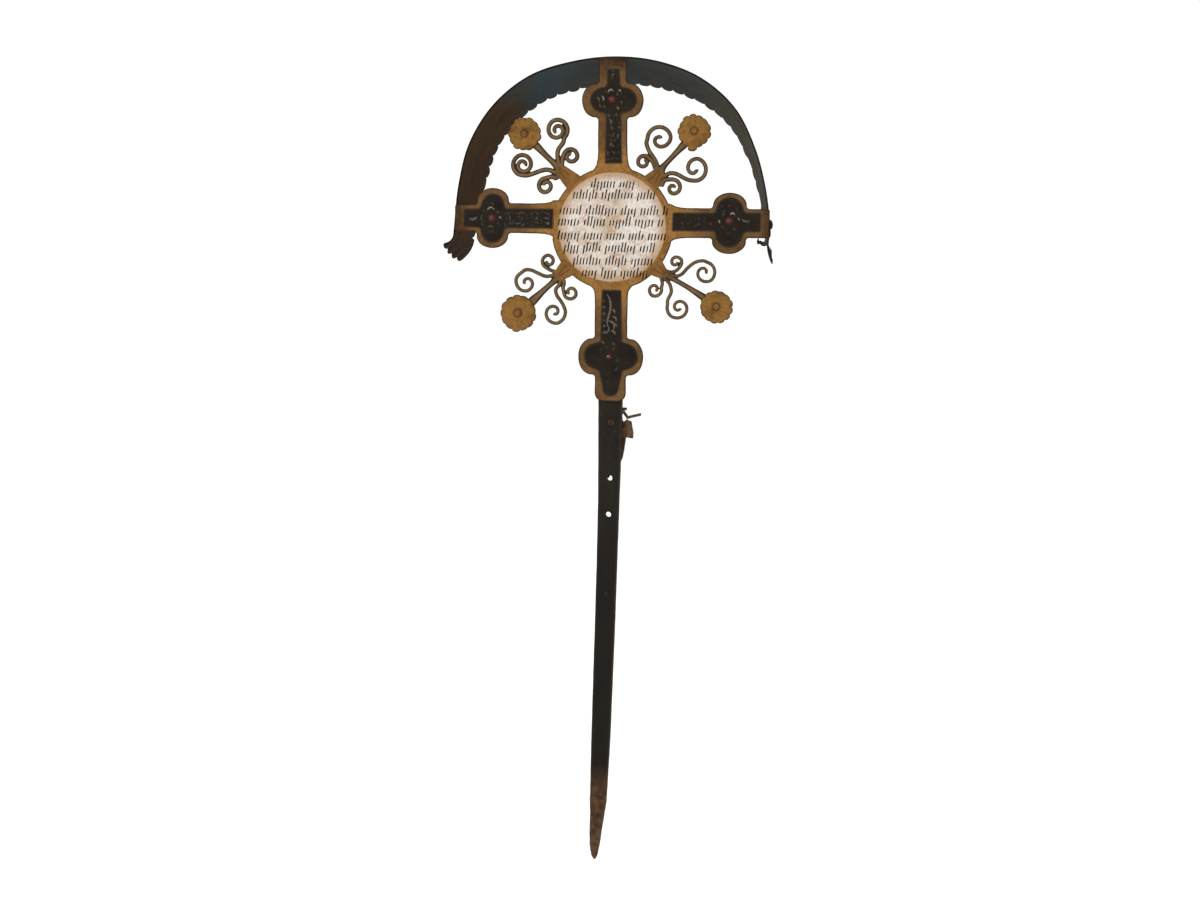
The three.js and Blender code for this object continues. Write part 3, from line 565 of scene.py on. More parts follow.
def rusty_iron(name="bare_rusted_iron", dark=1.0):
    f = Finish(name, specular=0.12)
    rust = f.ramp(
        f.noise(60, 6, 0.66),
        (0.3, 38 * dark, 27 * dark, 18 * dark), (0.46, 74 * dark, 53 * dark, 36 * dark),
        (0.6, 106 * dark, 80 * dark, 58 * dark), (0.75, 64 * dark, 41 * dark, 26 * dark),
    )
    color = f.spots(rust, (26, 4), (0.46, 0.62), 0.7, 44 * dark, 34 * dark, 26 * dark)
    f.bump((f.noise(80, 4), 0.6), (f.noise(320, 5, 0.65), 0.2))
    return f.done(color, f.grey(f.noise(50, 4), 0.6, 0.85))


def stroke_paint():
    f = Finish("black_strokes", specular=0.1)
    color = f.mixed(f.band(f.noise(160, 5, 0.7), 0.5, 0.72), paint(20, 16, 14), paint(60, 48, 38))
    f.bump((f.noise(400, 3), 0.05))
    return f.done(color, f.grey(f.noise(90, 3), 0.5, 0.7))


# Meshes

def build(name, points, faces, sharp=38, **attributes):
    """An object from points in millimetres, faces outward, with point attributes."""
    mesh = bpy.data.meshes.new(name)
    places = (np.asarray(points, float) * MM).tolist()
    mesh.from_pydata(places, [], [tuple(map(int, face)) for face in faces])
    for key, values in attributes.items():
        values = np.asarray(values, float)
        kind = "FLOAT" if values.ndim == 1 else "FLOAT_COLOR"
        field = "value" if values.ndim == 1 else "color"
        made = mesh.attributes.new(key, kind, "POINT")
        made.data.foreach_set(field, values.astype(np.float32).ravel())
    work = bmesh.new()
    work.from_mesh(mesh)
    bmesh.ops.recalc_face_normals(work, faces=work.faces)
    work.to_mesh(mesh)
    work.free()
    mesh.shade_smooth()
    mesh.set_sharp_from_angle(angle=math.radians(sharp))
    return link(bpy.data.objects.new(name, mesh))


def link(obj):
    bpy.context.scene.collection.objects.link(obj)
    return obj


def applied(obj):
    """The object with its modifiers applied."""
    graph = bpy.context.evaluated_depsgraph_get()
    mesh = bpy.data.meshes.new_from_object(obj.evaluated_get(graph), depsgraph=graph)
    obj.modifiers.clear()
    old = obj.data
    obj.data = mesh
    bpy.data.meshes.remove(old)
    return obj


def forged(obj, voxel):
    """Welds an object into one skin of small even faces and softens it."""
    remesh = obj.modifiers.new("weld", "REMESH")
    remesh.mode = "VOXEL"
    remesh.voxel_size = voxel * MM
    smooth = obj.modifiers.new("soften", "SMOOTH")
    smooth.factor, smooth.iterations = 0.5, 3
    return applied(obj)


def coordinates(obj):
    """An object's points in millimetres."""
    flat = np.empty(len(obj.data.vertices) * 3)
    obj.data.vertices.foreach_get("co", flat)
    return flat.reshape(-1, 3) / MM


def move_points(obj, points):
    obj.data.vertices.foreach_set("co", (points * MM).ravel())
    obj.data.update()


def point_normals(obj):
    flat = np.empty(len(obj.data.vertices) * 3)
    obj.data.vertex_normals.foreach_get("vector", flat)
    return flat.reshape(-1, 3)


def add_attribute(obj, name, values):
    made = obj.data.attributes.new(name, "FLOAT", "POINT")
    made.data.foreach_set("value", np.asarray(values, np.float32))


def dress(obj, material, slot, *nodes):
    """Gives a piece its material, rides it and lets it stand for CAD nodes; the slot is not used."""
    obj.data.materials.clear()
    obj.data.materials.append(material)
    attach(obj, "root")
    if nodes:
        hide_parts(*nodes)
    return obj


def strips(rows, faces, closed=False):
    """Quads between rows of point numbers, all rows of one length."""
    for low, high in zip(rows, rows[1:]):
        last = len(low) if closed else len(low) - 1
        for k in range(last):
            n = (k + 1) % len(low)
            faces.append((low[k], low[n], high[n], high[k]))


def tube(rings, faces):
    """Quads round closed rings of point numbers, with a face over each end."""
    strips(rings, faces, closed=True)
    faces.append(tuple(rings[0]))
    faces.append(tuple(rings[-1]))


# Cross plate

def arm_place(arm, edge):
    """From distances along and across an arm to X and Z."""
    turn = math.radians(arm["turn"])
    along, side = edge[:, 0], edge[:, 1] + arm["offset"] + arm["lean"] * edge[:, 0]
    return np.column_stack([
        along * math.cos(turn) - side * math.sin(turn),
        RING_Z + along * math.sin(turn) + side * math.cos(turn),
    ])


def both_sides(half):
    """A half outline, given from the ring outward, made whole counter-clockwise."""
    return np.vstack([half * (1, -1), half[::-1]])


def arm_half(arm):
    base = arm["neck"] + FILLET
    near = arm["lobe_at"] - arm["lobe_half"] - FILLET
    far = arm["lobe_at"] + arm["lobe_half"] + FILLET
    rounding = (FILLET, FILLET)
    return np.vstack([
        [
            (RING_RADIUS - 3, arm["root"] + 4),
            (RING_RADIUS + 3, arm["root"] + 0.5),
            (RING_RADIUS + 14, mix(arm["root"], arm["neck"], 0.6)),
            (RING_RADIUS + FLARE, arm["neck"]),
        ],
        arc((near, base), rounding, -90, 0, 6),
        arc((arm["lobe_at"], base), (arm["lobe_half"], arm["reach"] - base), 180, 0, 36)[1:-1],
        arc((far, arm["stub"] + FILLET), rounding, 180, 270, 6),
        arc((arm["end"] - arm["corner"], arm["stub"] - arm["corner"]), (arm["corner"],) * 2, 90, 0, 6),
    ])


def panel_half(panel):
    soft = (8, 8)
    near = panel["lobe_at"] - panel["lobe_half"]
    far = panel["lobe_at"] + panel["lobe_half"]
    low = panel["neck"] + 4
    corner = panel["corner"]
    return np.vstack([
        [(panel["start"], 0), (panel["start"], panel["root"])],
        arc((near - 8, panel["neck"] + 8), soft, -90, -20, 5),
        arc((panel["lobe_at"], low), (panel["lobe_half"], panel["reach"] - low), 165, 15, 30),
        arc((far + 8, panel["stub"] + 8), soft, 200, 270, 5),
        arc((panel["end"] - corner, panel["tip"] - corner), (corner, corner), 90, 0, 8),
    ])


def plate_outline():
    rows = []
    sides = [arm_place(arm, both_sides(arm_half(arm))) for arm in ARMS.values()]
    for side, following in zip(sides, sides[1:] + sides[:1]):
        start = math.atan2(side[-1][1] - RING_Z, side[-1][0])
        stop = math.atan2(following[0][1] - RING_Z, following[0][0])
        stop += 2 * math.pi if stop < start else 0
        rows.append(side)
        rows.append(arc((0, RING_Z), (RING_RADIUS,) * 2, math.degrees(start), math.degrees(stop), 24)[1:-1])
    loop = resampled(np.vstack(rows), 2.6)
    wobble = np.array([lumps(x, 0, z, 22, 2) for x, z in loop])
    return loop + outward(loop) * wobble[:, None] * 0.45


def panel_outline(name):
    panel = PANELS[name]
    loop = both_sides(panel_half(panel)) + (0, panel["shift"])
    return resampled(arm_place(ARMS[name], loop), 3.0)


def plate_bulge(x, z):
    """How far the sheet's front swells toward the viewer at a place."""
    return 0.35 * lumps(x, 7, z, 60, 2)


def grid_points(low, high, step, seed):
    """A jittered grid over a box."""
    maker = np.random.default_rng(seed)
    x, z = np.meshgrid(np.arange(low[0], high[0], step), np.arange(low[1], high[1], step))
    flat = np.column_stack([x.ravel(), z.ravel()])
    return flat + maker.uniform(-0.25, 0.25, flat.shape) * step


def triangulate(points, loops):
    """Triangles inside the first loop. Loops are runs of point numbers."""
    edges = [(int(a), int(b)) for loop in loops for a, b in zip(loop, np.roll(loop, -1))]
    coords, _, faces, *_ = delaunay_2d_cdt([Vector(p) for p in points], edges, [], 0, 1e-5, False)
    coords = np.array([tuple(c) for c in coords])
    faces = np.array(faces)
    return coords, faces[inside(coords[faces].mean(axis=1), coords[loops[0]])]


def make_plate():
    rim = plate_outline()
    inner = rim - outward(rim) * 0.7
    panels = {name: panel_outline(name) for name in PANELS}
    spots = []
    for loop in panels.values():
        dense = grid_points(loop.min(0) - 2, loop.max(0) + 2, 1.7, 3)
        spots.append(dense[signed_distance(dense, loop) > 0.8])
    coarse = grid_points(rim.min(0), rim.max(0), 3.6, 5)
    coarse = coarse[signed_distance(coarse, inner) > 1.6]
    for loop in panels.values():
        coarse = coarse[signed_distance(coarse, loop) < -1.2]
    loops = []
    count = 0
    for loop in [inner, *panels.values()]:
        loops.append(np.arange(count, count + len(loop)))
        count += len(loop)
    flat = np.vstack([inner, *panels.values(), *spots, coarse])
    flat, front_faces = triangulate(flat, loops)
    n = len(rim)
    front_y = np.array([PLATE_FRONT - plate_bulge(x, z) for x, z in flat])
    rows = [
        np.column_stack([flat[:, 0], front_y, flat[:, 1]]),
        np.column_stack([rim[:, 0], front_y[:n] + 0.7, rim[:, 1]]),
        np.column_stack([rim[:, 0], np.full(n, PLATE_BACK - 0.6), rim[:, 1]]),
        np.column_stack([inner[:, 0], np.full(n, PLATE_BACK), inner[:, 1]]),
    ]
    points = np.vstack(rows)
    starts = np.cumsum([0] + [len(row) for row in rows])
    faces = [tuple(face) for face in front_faces]
    rings = [list(range(n))] + [list(range(starts[k], starts[k] + n)) for k in (1, 2, 3)]
    strips(rings, faces, closed=True)
    back_flat, back_faces = triangulate(inner, [np.arange(n)])
    faces += [tuple(rings[3][i] for i in face) for face in back_faces]

    place = np.column_stack([points[:, 0], points[:, 2]])
    rim_distance, _ = line_distance(place, np.vstack([rim, rim[:1]]))
    panel_distance = np.full(len(points), -12.0)
    for loop in panels.values():
        near = np.all((place > loop.min(0) - 12) & (place < loop.max(0) + 12), axis=1)
        panel_distance[near] = np.maximum(panel_distance[near], signed_distance(place[near], loop))
    disc = DISC_RADIUS - np.linalg.norm(place - (0, DISC_Z), axis=1)
    front = np.zeros(len(points))
    front[:starts[1]] = 1.0
    reach = np.abs(place - (0, RING_Z))
    redness = np.maximum(smoothstep(place[:, 1], 1395, 1425), 0.8 * smoothstep(reach[:, 0], 285, 310))
    ornament = paint_ornament(place)
    return build(
        "painted_cross_plate", points, faces, 30,
        rim=rim_distance, panel=clamp(panel_distance, -12, 30), disc=clamp(disc, -250, 60), front=front,
        redness=redness, ornament=ornament,
    )


# Ornament: soft brush strokes laid on the points of the panels, and a painted highlight on each flower's red
# centre

TINTS = {
    "white": (188, 178, 163), "pale": (134, 122, 108), "sage": (98, 100, 80), "lilac": (112, 96, 100),
    "ochre": (98, 72, 42), "rust": (92, 54, 38), "rose": (114, 54, 48), "deep": (78, 34, 31),
    "blue": (60, 72, 84), "olive": (70, 68, 42), "violet": (66, 48, 58),
}


class Canvas:
    def __init__(self, place):
        self.place = place
        self.layer = np.zeros((len(place), 4))

    def stroke(self, path, width, tint, cover=0.8, soft=1.6):
        """One brush stroke, widest a third of the way along it."""
        path = np.asarray(path, float)
        reach = width + soft + 1
        near = np.all((self.place > path.min(0) - reach) & (self.place < path.max(0) + reach), axis=1)
        if not near.any():
            return
        gap, along = line_distance(self.place[near], path)
        swell = 0.35 + 0.65 * np.sin(np.pi * along**0.75)
        share = cover * smoothstep(width / 2 * swell + soft / 2 - gap, 0, soft)
        self.blend(near, share, tint)

    def dab(self, centre, radii, tint, cover=0.8, soft=0.35):
        """A round dab, its edge fading over a share of its radius."""
        gap = np.linalg.norm((self.place - centre) / radii, axis=1)
        near = gap < 1 + soft
        self.blend(near, cover * (1 - smoothstep(gap[near], 1 - soft, 1 + soft)), tint)

    def blend(self, near, share, tint):
        color = np.array(paint(*TINTS[tint])[:3])
        old = self.layer[near]
        total = share + old[:, 3] * (1 - share)
        safe = np.maximum(total, 1e-6)[:, None]
        rgb = (color * share[:, None] + old[:, :3] * (old[:, 3] * (1 - share))[:, None]) / safe
        self.layer[near] = np.column_stack([rgb, total])


def curved(start, stop, bow):
    """A short arc from start to stop, bowed to its left by a share of its length."""
    a, b = np.asarray(start, float), np.asarray(stop, float)
    side = np.array([a[1] - b[1], b[0] - a[0]])
    t = np.linspace(0, 1, 7)[:, None]
    return a + (b - a) * t + side * bow * 4 * t * (1 - t)


# Leaves and petals of each arm, as offsets from its flower: start, stop, bow, width, tint, cover
ARM_STROKES = {
    "left": [
        ((-9, 16), (5, 17), 0.35, 3.2, "white", 0.85), ((-7, -18), (4, -19), 0.25, 2.6, "pale", 0.7),
        ((15, 2), (19, -1), 0.2, 4.0, "white", 0.6), ((-18, 7), (-14, -6), -0.4, 2.2, "pale", 0.7),
        ((-20, -6), (-13, -14), -0.3, 2.4, "sage", 0.6), ((-13, 12), (-17, 18), 0.2, 2.6, "sage", 0.6),
        ((9, 13), (14, 8), 0.3, 2.4, "pale", 0.6), ((11, -9), (16, -14), 0.2, 2.2, "sage", 0.55),
        ((-30, 2), (-47, -1), 0.15, 4.6, "pale", 0.6), ((-31, -2), (-44, -5), 0.1, 2.2, "lilac", 0.6),
        ((-3, 30), (3, 25), 0.2, 4.2, "ochre", 0.55), ((-4, -30), (4, -25), 0.2, 4.4, "rust", 0.55),
        ((-12, 32), (-6, 24), 0.1, 3.0, "ochre", 0.4), ((8, -32), (3, -26), 0.1, 3.0, "ochre", 0.4),
    ],
    "right": [
        ((2, 13), (11, 12), 0.35, 3.6, "white", 0.95), ((-12, 9), (-8, 15), 0.2, 3.0, "sage", 0.75),
        ((-13, 17), (-8, 20), 0.2, 2.6, "sage", 0.6), ((-21, 1), (-18, -4), 0.2, 3.0, "white", 0.8),
        ((17, 6), (19, 1), 0.2, 2.6, "white", 0.75), ((-2, 30), (2, 27), 0.1, 4.6, "rose", 0.7),
        ((24, 4), (41, 1), -0.15, 4.0, "pale", 0.55), ((26, -2), (40, -4), 0.1, 2.4, "lilac", 0.5),
        ((-15, -10), (-11, -16), 0.3, 2.4, "sage", 0.5), ((9, -12), (14, -17), -0.3, 2.4, "pale", 0.5),
        ((-4, -26), (3, -24), 0.2, 3.4, "ochre", 0.5), ((-5, -40), (6, -41), 0.1, 3.2, "rust", 0.55),
        ((-16, 26), (-12, 31), 0.1, 3.0, "blue", 0.6), ((13, 26), (16, 19), 0.1, 3.0, "blue", 0.6),
    ],
    "top": [
        ((-8, 14), (3, 16), 0.4, 3.2, "white", 0.85), ((12, 17), (17, 14), 0.5, 2.6, "white", 0.75),
        ((10, 13), (14, 9), -0.4, 2.4, "pale", 0.7), ((-30, 4), (-26, -5), 0.25, 3.2, "pale", 0.75),
        ((-20, 6), (-18, -3), 0.25, 3.4, "white", 0.7), ((-24, -8), (-20, -15), -0.2, 2.6, "pale", 0.6),
        ((-17, -12), (-14, -17), 0.2, 3.0, "pale", 0.7), ((17, -4), (20, -8), 0.2, 3.0, "pale", 0.7),
        ((10, -15), (13, -20), 0.2, 3.0, "white", 0.6), ((22, 6), (26, 3), 0.2, 2.8, "rose", 0.5),
        ((-16, 18), (-12, 12), 0.2, 3.0, "ochre", 0.6), ((-9, -29), (-5, -34), 0.2, 3.0, "pale", 0.5),
        ((9, -27), (13, -32), -0.2, 3.0, "pale", 0.5), ((0, 45), (3, 50), 0.2, 4.6, "pale", 0.6),
        ((-4, 41), (2, 39), 0.2, 2.6, "sage", 0.5), ((2, 55), (-2, 58), 0.2, 3.0, "lilac", 0.5),
    ],
    "bottom": [
        ((-16, 30), (-11, 26), 0.2, 4.2, "pale", 0.7), ((7, 29), (11, 25), -0.2, 4.0, "pale", 0.6),
        ((-20, 15), (-14, 11), 0.2, 3.4, "olive", 0.7), ((-9, 20), (-2, 17), 0.2, 3.2, "olive", 0.7),
        ((10, 20), (5, 14), 0.2, 3.6, "sage", 0.5), ((17, 0), (24, -6), -0.3, 2.6, "ochre", 0.6),
        ((14, -3), (19, -10), -0.2, 2.2, "sage", 0.5), ((14, -24), (20, -21), 0.2, 3.4, "blue", 0.8),
        ((11, -27), (18, -26), 0.2, 2.2, "pale", 0.45), ((-22, -6), (-14, -9), 0.2, 3.2, "olive", 0.6),
        ((-3, -50), (4, -46), 0.1, 6.0, "rust", 0.35), ((-9, -33), (-2, -38), 0.1, 4.0, "olive", 0.4),
    ],
}
FLOWERS = {"left": (-242.6, 1117.3), "right": (230.7, 1115.6), "top": (-5.4, 1350.7), "bottom": (0.4, 845.6)}


def paint_vine(canvas):
    """A long stem with commas and dots down the bottom arm."""
    stem = spline([(-6, 969), (0, 957), (1, 941), (-3, 924), (-5, 912), (0, 900)], 6)
    canvas.stroke(stem, 3.4, "pale", 0.8)
    commas = [
        ((5, 939), (9, 933), "pale"), ((6, 925), (13, 917), "pale"), ((-1, 917), (8, 900), "pale"),
        ((8, 912), (14, 905), "sage"), ((-1, 905), (-13, 893), "sage"), ((4, 897), (11, 890), "pale"),
    ]
    for start, stop, tint in commas:
        canvas.stroke(curved(start, stop, 0.3), 3.8, tint, 0.75)
    for k, z in enumerate((956, 944, 931, 918, 907, 895)):
        canvas.dab((-12.5 + 0.5 * k, z), (2.7, 2.4), ("ochre", "lilac", "sage")[k % 3], 0.75)


def paint_sprigs(canvas, arm, count, seed, tints):
    """Short faint strokes strewn along the bar of an arm."""
    maker = random.Random(seed)
    panel = PANELS[arm]
    near = panel["start"] + 6
    far = panel["lobe_at"] - panel["lobe_half"] - 2
    for k in range(count):
        along = mix(near, far, (k + 0.5) / count) + maker.uniform(-3, 3)
        for row in (-1, 0, 1):
            across = panel["shift"] + row * 0.55 * panel["neck"] + maker.uniform(-3, 3)
            reach = maker.uniform(1.5, 4.5)
            turn = maker.uniform(-1.3, 1.3)
            half = np.array((math.cos(turn), math.sin(turn))) * reach
            start, stop = arm_place(ARMS[arm], np.array([(along, across) - half, (along, across) + half]))
            canvas.stroke(curved(start, stop, maker.uniform(-0.4, 0.4)), maker.uniform(1.4, 2.5),
                          maker.choice(tints), maker.uniform(0.25, 0.65))


def paint_ornament(place):
    canvas = Canvas(place)
    for name, (x, z) in FLOWERS.items():
        size, painted_highlight_tint, painted_highlight_cover = (5.2, "white", 0.8) if name == "bottom" else (7.2, "pale", 0.5)
        for start, stop, bow, width, tint, cover in ARM_STROKES[name]:
            path = curved((x + start[0], z + start[1]), (x + stop[0], z + stop[1]), bow)
            canvas.stroke(path, 0.78 * width, tint, 0.85 * cover)
        canvas.dab((x, z), (size, size * 0.95), "deep", 0.9)
        canvas.dab((x - 0.6, z + 0.8), (size * 0.72, size * 0.66), "rose", 0.85)
        # A pale dab toward the upper left of each red centre is a painted highlight.
        canvas.dab((x - 2, z + 1.2), (1.6, 1.4), painted_highlight_tint, painted_highlight_cover)
    paint_vine(canvas)
    paint_sprigs(canvas, "left", 13, 11, ["pale", "sage", "lilac", "pale"])
    paint_sprigs(canvas, "right", 11, 12, ["lilac", "sage", "violet", "rust"])
    paint_sprigs(canvas, "top", 13, 13, ["pale", "sage", "lilac", "pale", "olive"])
    canvas.dab((195, 1110), (3, 2.4), "rose", 0.6)
    canvas.dab((-127, 1125), (3, 5), "violet", 0.7)
    canvas.dab((-128, 1108), (2.6, 2.6), "pale", 0.5)
    return canvas.layer


# Inscription: rows of separate slanted strokes that form no letters

ROWS = [  # height of the base line, left end, right end
    (1178.0, -43, 40), (1156.5, -78, 88), (1125.5, -104, 112),
    (1103.5, -107, 105), (1076.3, -107, 108), (1052.7, -94, 89),
    (1027.3, -75, 85), (1003.7, -57, 72),
]
ROW_HEIGHT = 14.0
STROKE_STEP = 6.4
STROKE_LEAN = 2.2
STROKE_WIDTHS = (3.0, 3.7)
STROKE_GROUP = (5, 10)
# Lower and upper end of a stroke, as shares of the row's height
STROKE_ENDS = [(0.0, 0.95), (0.0, 0.95), (0.1, 0.85), (0.0, 1.35), (-0.3, 0.9)]
NIB_SLANT = 0.62
INK_LIFTS = (0.05, 0.22)


def pen_quad(points, faces, corners):
    """A flat tile of ink lying on the plate's front."""
    start = len(points)
    for lift in INK_LIFTS:
        for x, z in corners:
            points.append((x, PLATE_FRONT - plate_bulge(x, z) - lift, z))
    a = [start + k for k in range(4)]
    b = [start + 4 + k for k in range(4)]
    faces.append(tuple(b))
    faces.append(tuple(reversed(a)))
    for k in range(4):
        n = (k + 1) % 4
        faces.append((a[k], a[n], b[n], b[k]))


def pen_line(points, faces, path, width):
    """A stroke of a broad pen held at a slant, as tiles along a path."""
    nib = np.array([math.cos(NIB_SLANT), math.sin(NIB_SLANT)]) * width / 2
    for a, b in zip(path[:-1], path[1:]):
        pen_quad(points, faces, [a - nib, b - nib, b + nib, a + nib])


def make_inscription():
    """Slanted strokes in groups of random length, with a gap between any two."""
    maker = random.Random(41)
    points, faces = [], []
    for base, left, right in ROWS:
        x = left
        left_in_group = maker.randint(*STROKE_GROUP)
        while x < right:
            low, high = maker.choice(STROKE_ENDS)
            top = (x + STROKE_LEAN * high, base + ROW_HEIGHT * high)
            foot = (x + STROKE_LEAN * low, base + ROW_HEIGHT * low)
            pen_line(points, faces, np.linspace(top, foot, 6), maker.uniform(*STROKE_WIDTHS))
            x += STROKE_STEP + maker.uniform(-0.4, 0.4)
            left_in_group -= 1
            if left_in_group == 0:
                left_in_group = maker.randint(*STROKE_GROUP)
                x += STROKE_STEP
    return build("inscription_strokes", points, faces, 30)


# Roof

def roof_curve():
    arch = []
    for k, radius in enumerate(ROOF_RADII):
        angle = math.radians(15 * k)
        middle = radius - ROOF_THICK / 2
        arch.append((middle * math.cos(angle), RING_Z + middle * math.sin(angle)))
    curve = spline([FEET["right"]["neck"], *arch, FEET["left"]["neck"]], 60)
    steps = np.linalg.norm(np.diff(curve, axis=0), axis=1)
    return curve, np.concatenate([[0], np.cumsum(steps)])


ROOF_CURVE, ROOF_MARKS = roof_curve()
ROOF_LENGTH = float(ROOF_MARKS[-1])
ROOF_TANGENTS = np.gradient(ROOF_CURVE, ROOF_MARKS, axis=0)


def sheet_points(s, y, lift, side):
    """Points of the sheet: s along it, y its depth, lift its rise, side 1 outside, -1 inside."""
    s, y, lift, side = np.broadcast_arrays(*(np.asarray(v, float) for v in (s, y, lift, side)))
    on = clamp(s, 0, ROOF_LENGTH)
    x = np.interp(on, ROOF_MARKS, ROOF_CURVE[:, 0])
    z = np.interp(on, ROOF_MARKS, ROOF_CURVE[:, 1])
    tx = np.interp(on, ROOF_MARKS, ROOF_TANGENTS[:, 0])
    tz = np.interp(on, ROOF_MARKS, ROOF_TANGENTS[:, 1])
    size = np.hypot(tx, tz)
    tx, tz = tx / size, tz / size
    x, z = x + tx * (s - on), z + tz * (s - on)
    height = clamp((z - RING_Z) / ROOF_RADII[6], 0, 1)
    rightward = clamp(x / ROOF_RADII[0], -1, 1)
    lean = mix(mix(SPLAY["left"], SPLAY["right"], (rightward + 1) / 2), SPLAY["top"], height**2)
    offset = lift - lean * (y - ROOF_FRONT) / (ROOF_REAR - ROOF_FRONT) + side * ROOF_THICK / 2
    return np.stack([x + tz * offset, y, z - tx * offset], axis=-1)


def foot_row(foot, v, start, direction, t):
    rear = ROOF_REAR - foot["waist"] * (1 - 0.6 * v * v)
    across = clamp(t * FOOT_PETALS - 0.5, 0, FOOT_PETALS - 1)
    length = np.interp(across, range(FOOT_PETALS), foot["lengths"])
    bend = np.interp(across, range(FOOT_PETALS), foot["bends"])
    lobe = np.sqrt(np.abs(np.sin(math.pi * FOOT_PETALS * t)))
    s = start + direction * v * (length - 9 * (1 - lobe) * v)
    return s, mix(ROOF_FRONT, rear, t), bend * v * v + foot["flute"] * (lobe - 0.6) * v


def arch_row(s, across, t):
    toward_right = FEET["right"]["waist"] * (1 - smoothstep(s, 0, WAIST_REACH))
    toward_left = FEET["left"]["waist"] * smoothstep(s, ROOF_LENGTH - WAIST_REACH, ROOF_LENGTH)
    reach = SCALLOP_DEPTH * math.sqrt(max(0.0, 1 - across * across))
    rear = ROOF_REAR - SCALLOP_DEPTH + reach - toward_right - toward_left
    return np.full(len(t), s), mix(ROOF_FRONT, rear, t), np.zeros(len(t))


def make_roof():
    maker = random.Random(8)
    columns = 40
    t = np.arange(columns + 1) / columns
    t = np.sort(np.concatenate([t, [0.006, 0.994]]))
    thin = np.where((t < 0.001) | (t > 0.999), 0.5, 1.0)
    rows = []
    for v in np.linspace(1, 0.05, 16):
        rows.append(foot_row(FEET["right"], v, 0, -1, t))
    bends = [maker.uniform(-1.4, 1.4) for _ in range(SCALLOPS)]
    per = 10
    for k in range(SCALLOPS * per + 1):
        scallop, part = divmod(k, per)
        across = -math.cos(math.pi * part / per)
        s = ROOF_LENGTH * (scallop + (across + 1) / 2) / SCALLOPS
        s_row, y, lift = arch_row(s, across, t)
        bend = bends[min(scallop, SCALLOPS - 1)] * (1 - across * across)
        rows.append((s_row, y, lift + bend * smoothstep(t, 0.86, 1.0)))
    for v in np.linspace(0.05, 1, 16):
        rows.append(foot_row(FEET["left"], v, ROOF_LENGTH, 1, t))
    s = np.array([row[0] for row in rows])
    y = np.array([row[1] for row in rows])
    lift = np.array([row[2] for row in rows])
    dents = np.array([[1.1 * lumps(a, b, 3, 70, 2) + 0.22 * lumps(a, b, 9, 16, 2) for a, b in zip(*pair)]
                      for pair in zip(s, y)])
    lift = lift + dents * smoothstep(y, ROOF_FRONT + 4, ROOF_FRONT + 30)
    shrink = np.broadcast_to(thin, s.shape).copy()
    shrink[[0, -1]] = 0.5
    outer = sheet_points(s, y, lift, shrink)
    inner = sheet_points(s, y, lift, -shrink)
    count, width = s.shape
    points = np.vstack([outer.reshape(-1, 3), inner.reshape(-1, 3)])
    ids = np.arange(count * width).reshape(count, width)
    under = ids + count * width
    faces = []
    strips(ids, faces)
    strips(under[:, ::-1], faces)
    for column in (0, width - 1):
        for k in range(count - 1):
            faces.append((ids[k, column], ids[k + 1, column], under[k + 1, column], under[k, column]))
    for row in (0, count - 1):
        for k in range(width - 1):
            faces.append((ids[row, k], ids[row, k + 1], under[row, k + 1], under[row, k]))
    depth = np.broadcast_to(t, s.shape)
    span = y[:, -1:] - ROOF_FRONT
    edge = np.minimum(depth, 1 - depth) * span

    def double(grid):
        return np.tile(grid.ravel(), 2)

    outside = np.concatenate([np.ones(s.size), np.zeros(s.size)])
    return build(
        "scalloped_roof", points, faces, 50,
        along=double(s / ROOF_LENGTH), depth=double(depth), edge=double(edge), outside=outside,
    )


# Tabs and rivets

def station_of(arm):
    """Where an arm's axis meets the sheet, as a distance along the strip."""
    target = arm_place(arm, np.array([[arm["end"], 0.0]]))[0]
    return float(ROOF_MARKS[np.argmin(np.linalg.norm(ROOF_CURVE - target, axis=1))])


def make_tab(name):
    arm = ARMS[name]
    middle = station_of(arm)
    s = middle + np.linspace(-TAB_HALF_WIDTH, TAB_HALF_WIDTH, 21)
    narrow = 1 - 0.12 * np.abs(np.linspace(-1, 1, 21)) ** 6
    profile = [
        (PLATE_BACK - 1.2, 0.6), (PLATE_BACK + 0.5, 0.0), (TAB_REAR - 2, 0.0), (TAB_REAR, 1.0),
        (TAB_REAR, PLATE_THICK - 1.0), (TAB_REAR - 2, PLATE_THICK), (PLATE_BACK - 1.2, PLATE_THICK),
    ]
    rows = []
    for y, depth in profile:
        reach = np.where(y > 10, y - (1 - narrow) * 30, y)
        rows.append(sheet_points(s, reach, -GAP - depth, -1))
    grid = np.stack(rows, axis=1)
    count, width = grid.shape[:2]
    ids = np.arange(count * width).reshape(count, width)
    faces = []
    tube(ids, faces)
    return build(f"arm_tab_{name}", grid.reshape(-1, 3), faces, 35)


def make_rivet(name, crown, direction, profile, seed):
    """A hand-set rivet turned about its axis, its profile given as distance from the axis and depth."""
    axis = Vector(direction).normalized()
    side = axis.orthogonal().normalized()
    other = axis.cross(side)
    curve = np.asarray(profile, float)
    sides = 40
    points = [tuple(Vector(crown) + axis * curve[0][1])]
    rings = []
    for r, depth in curve[1:-1]:
        ring = []
        for k in range(sides):
            angle = 2 * math.pi * k / sides
            wobble = 1 + 0.05 * lumps(math.cos(angle) * 2, math.sin(angle) * 2, seed + depth * 0.3, 1.6, 2)
            spoke = side * math.cos(angle) + other * math.sin(angle)
            p = Vector(crown) + axis * depth + spoke * r * wobble
            ring.append(len(points))
            points.append(tuple(p))
        rings.append(ring)
    points.append(tuple(Vector(crown) + axis * curve[-1][1]))
    faces = []
    strips(rings, faces, closed=True)
    for k in range(sides):
        n = (k + 1) % sides
        faces.append((0, rings[0][n], rings[0][k]))
        faces.append((len(points) - 1, rings[-1][k], rings[-1][n]))
    return build(name, points, faces, 40)


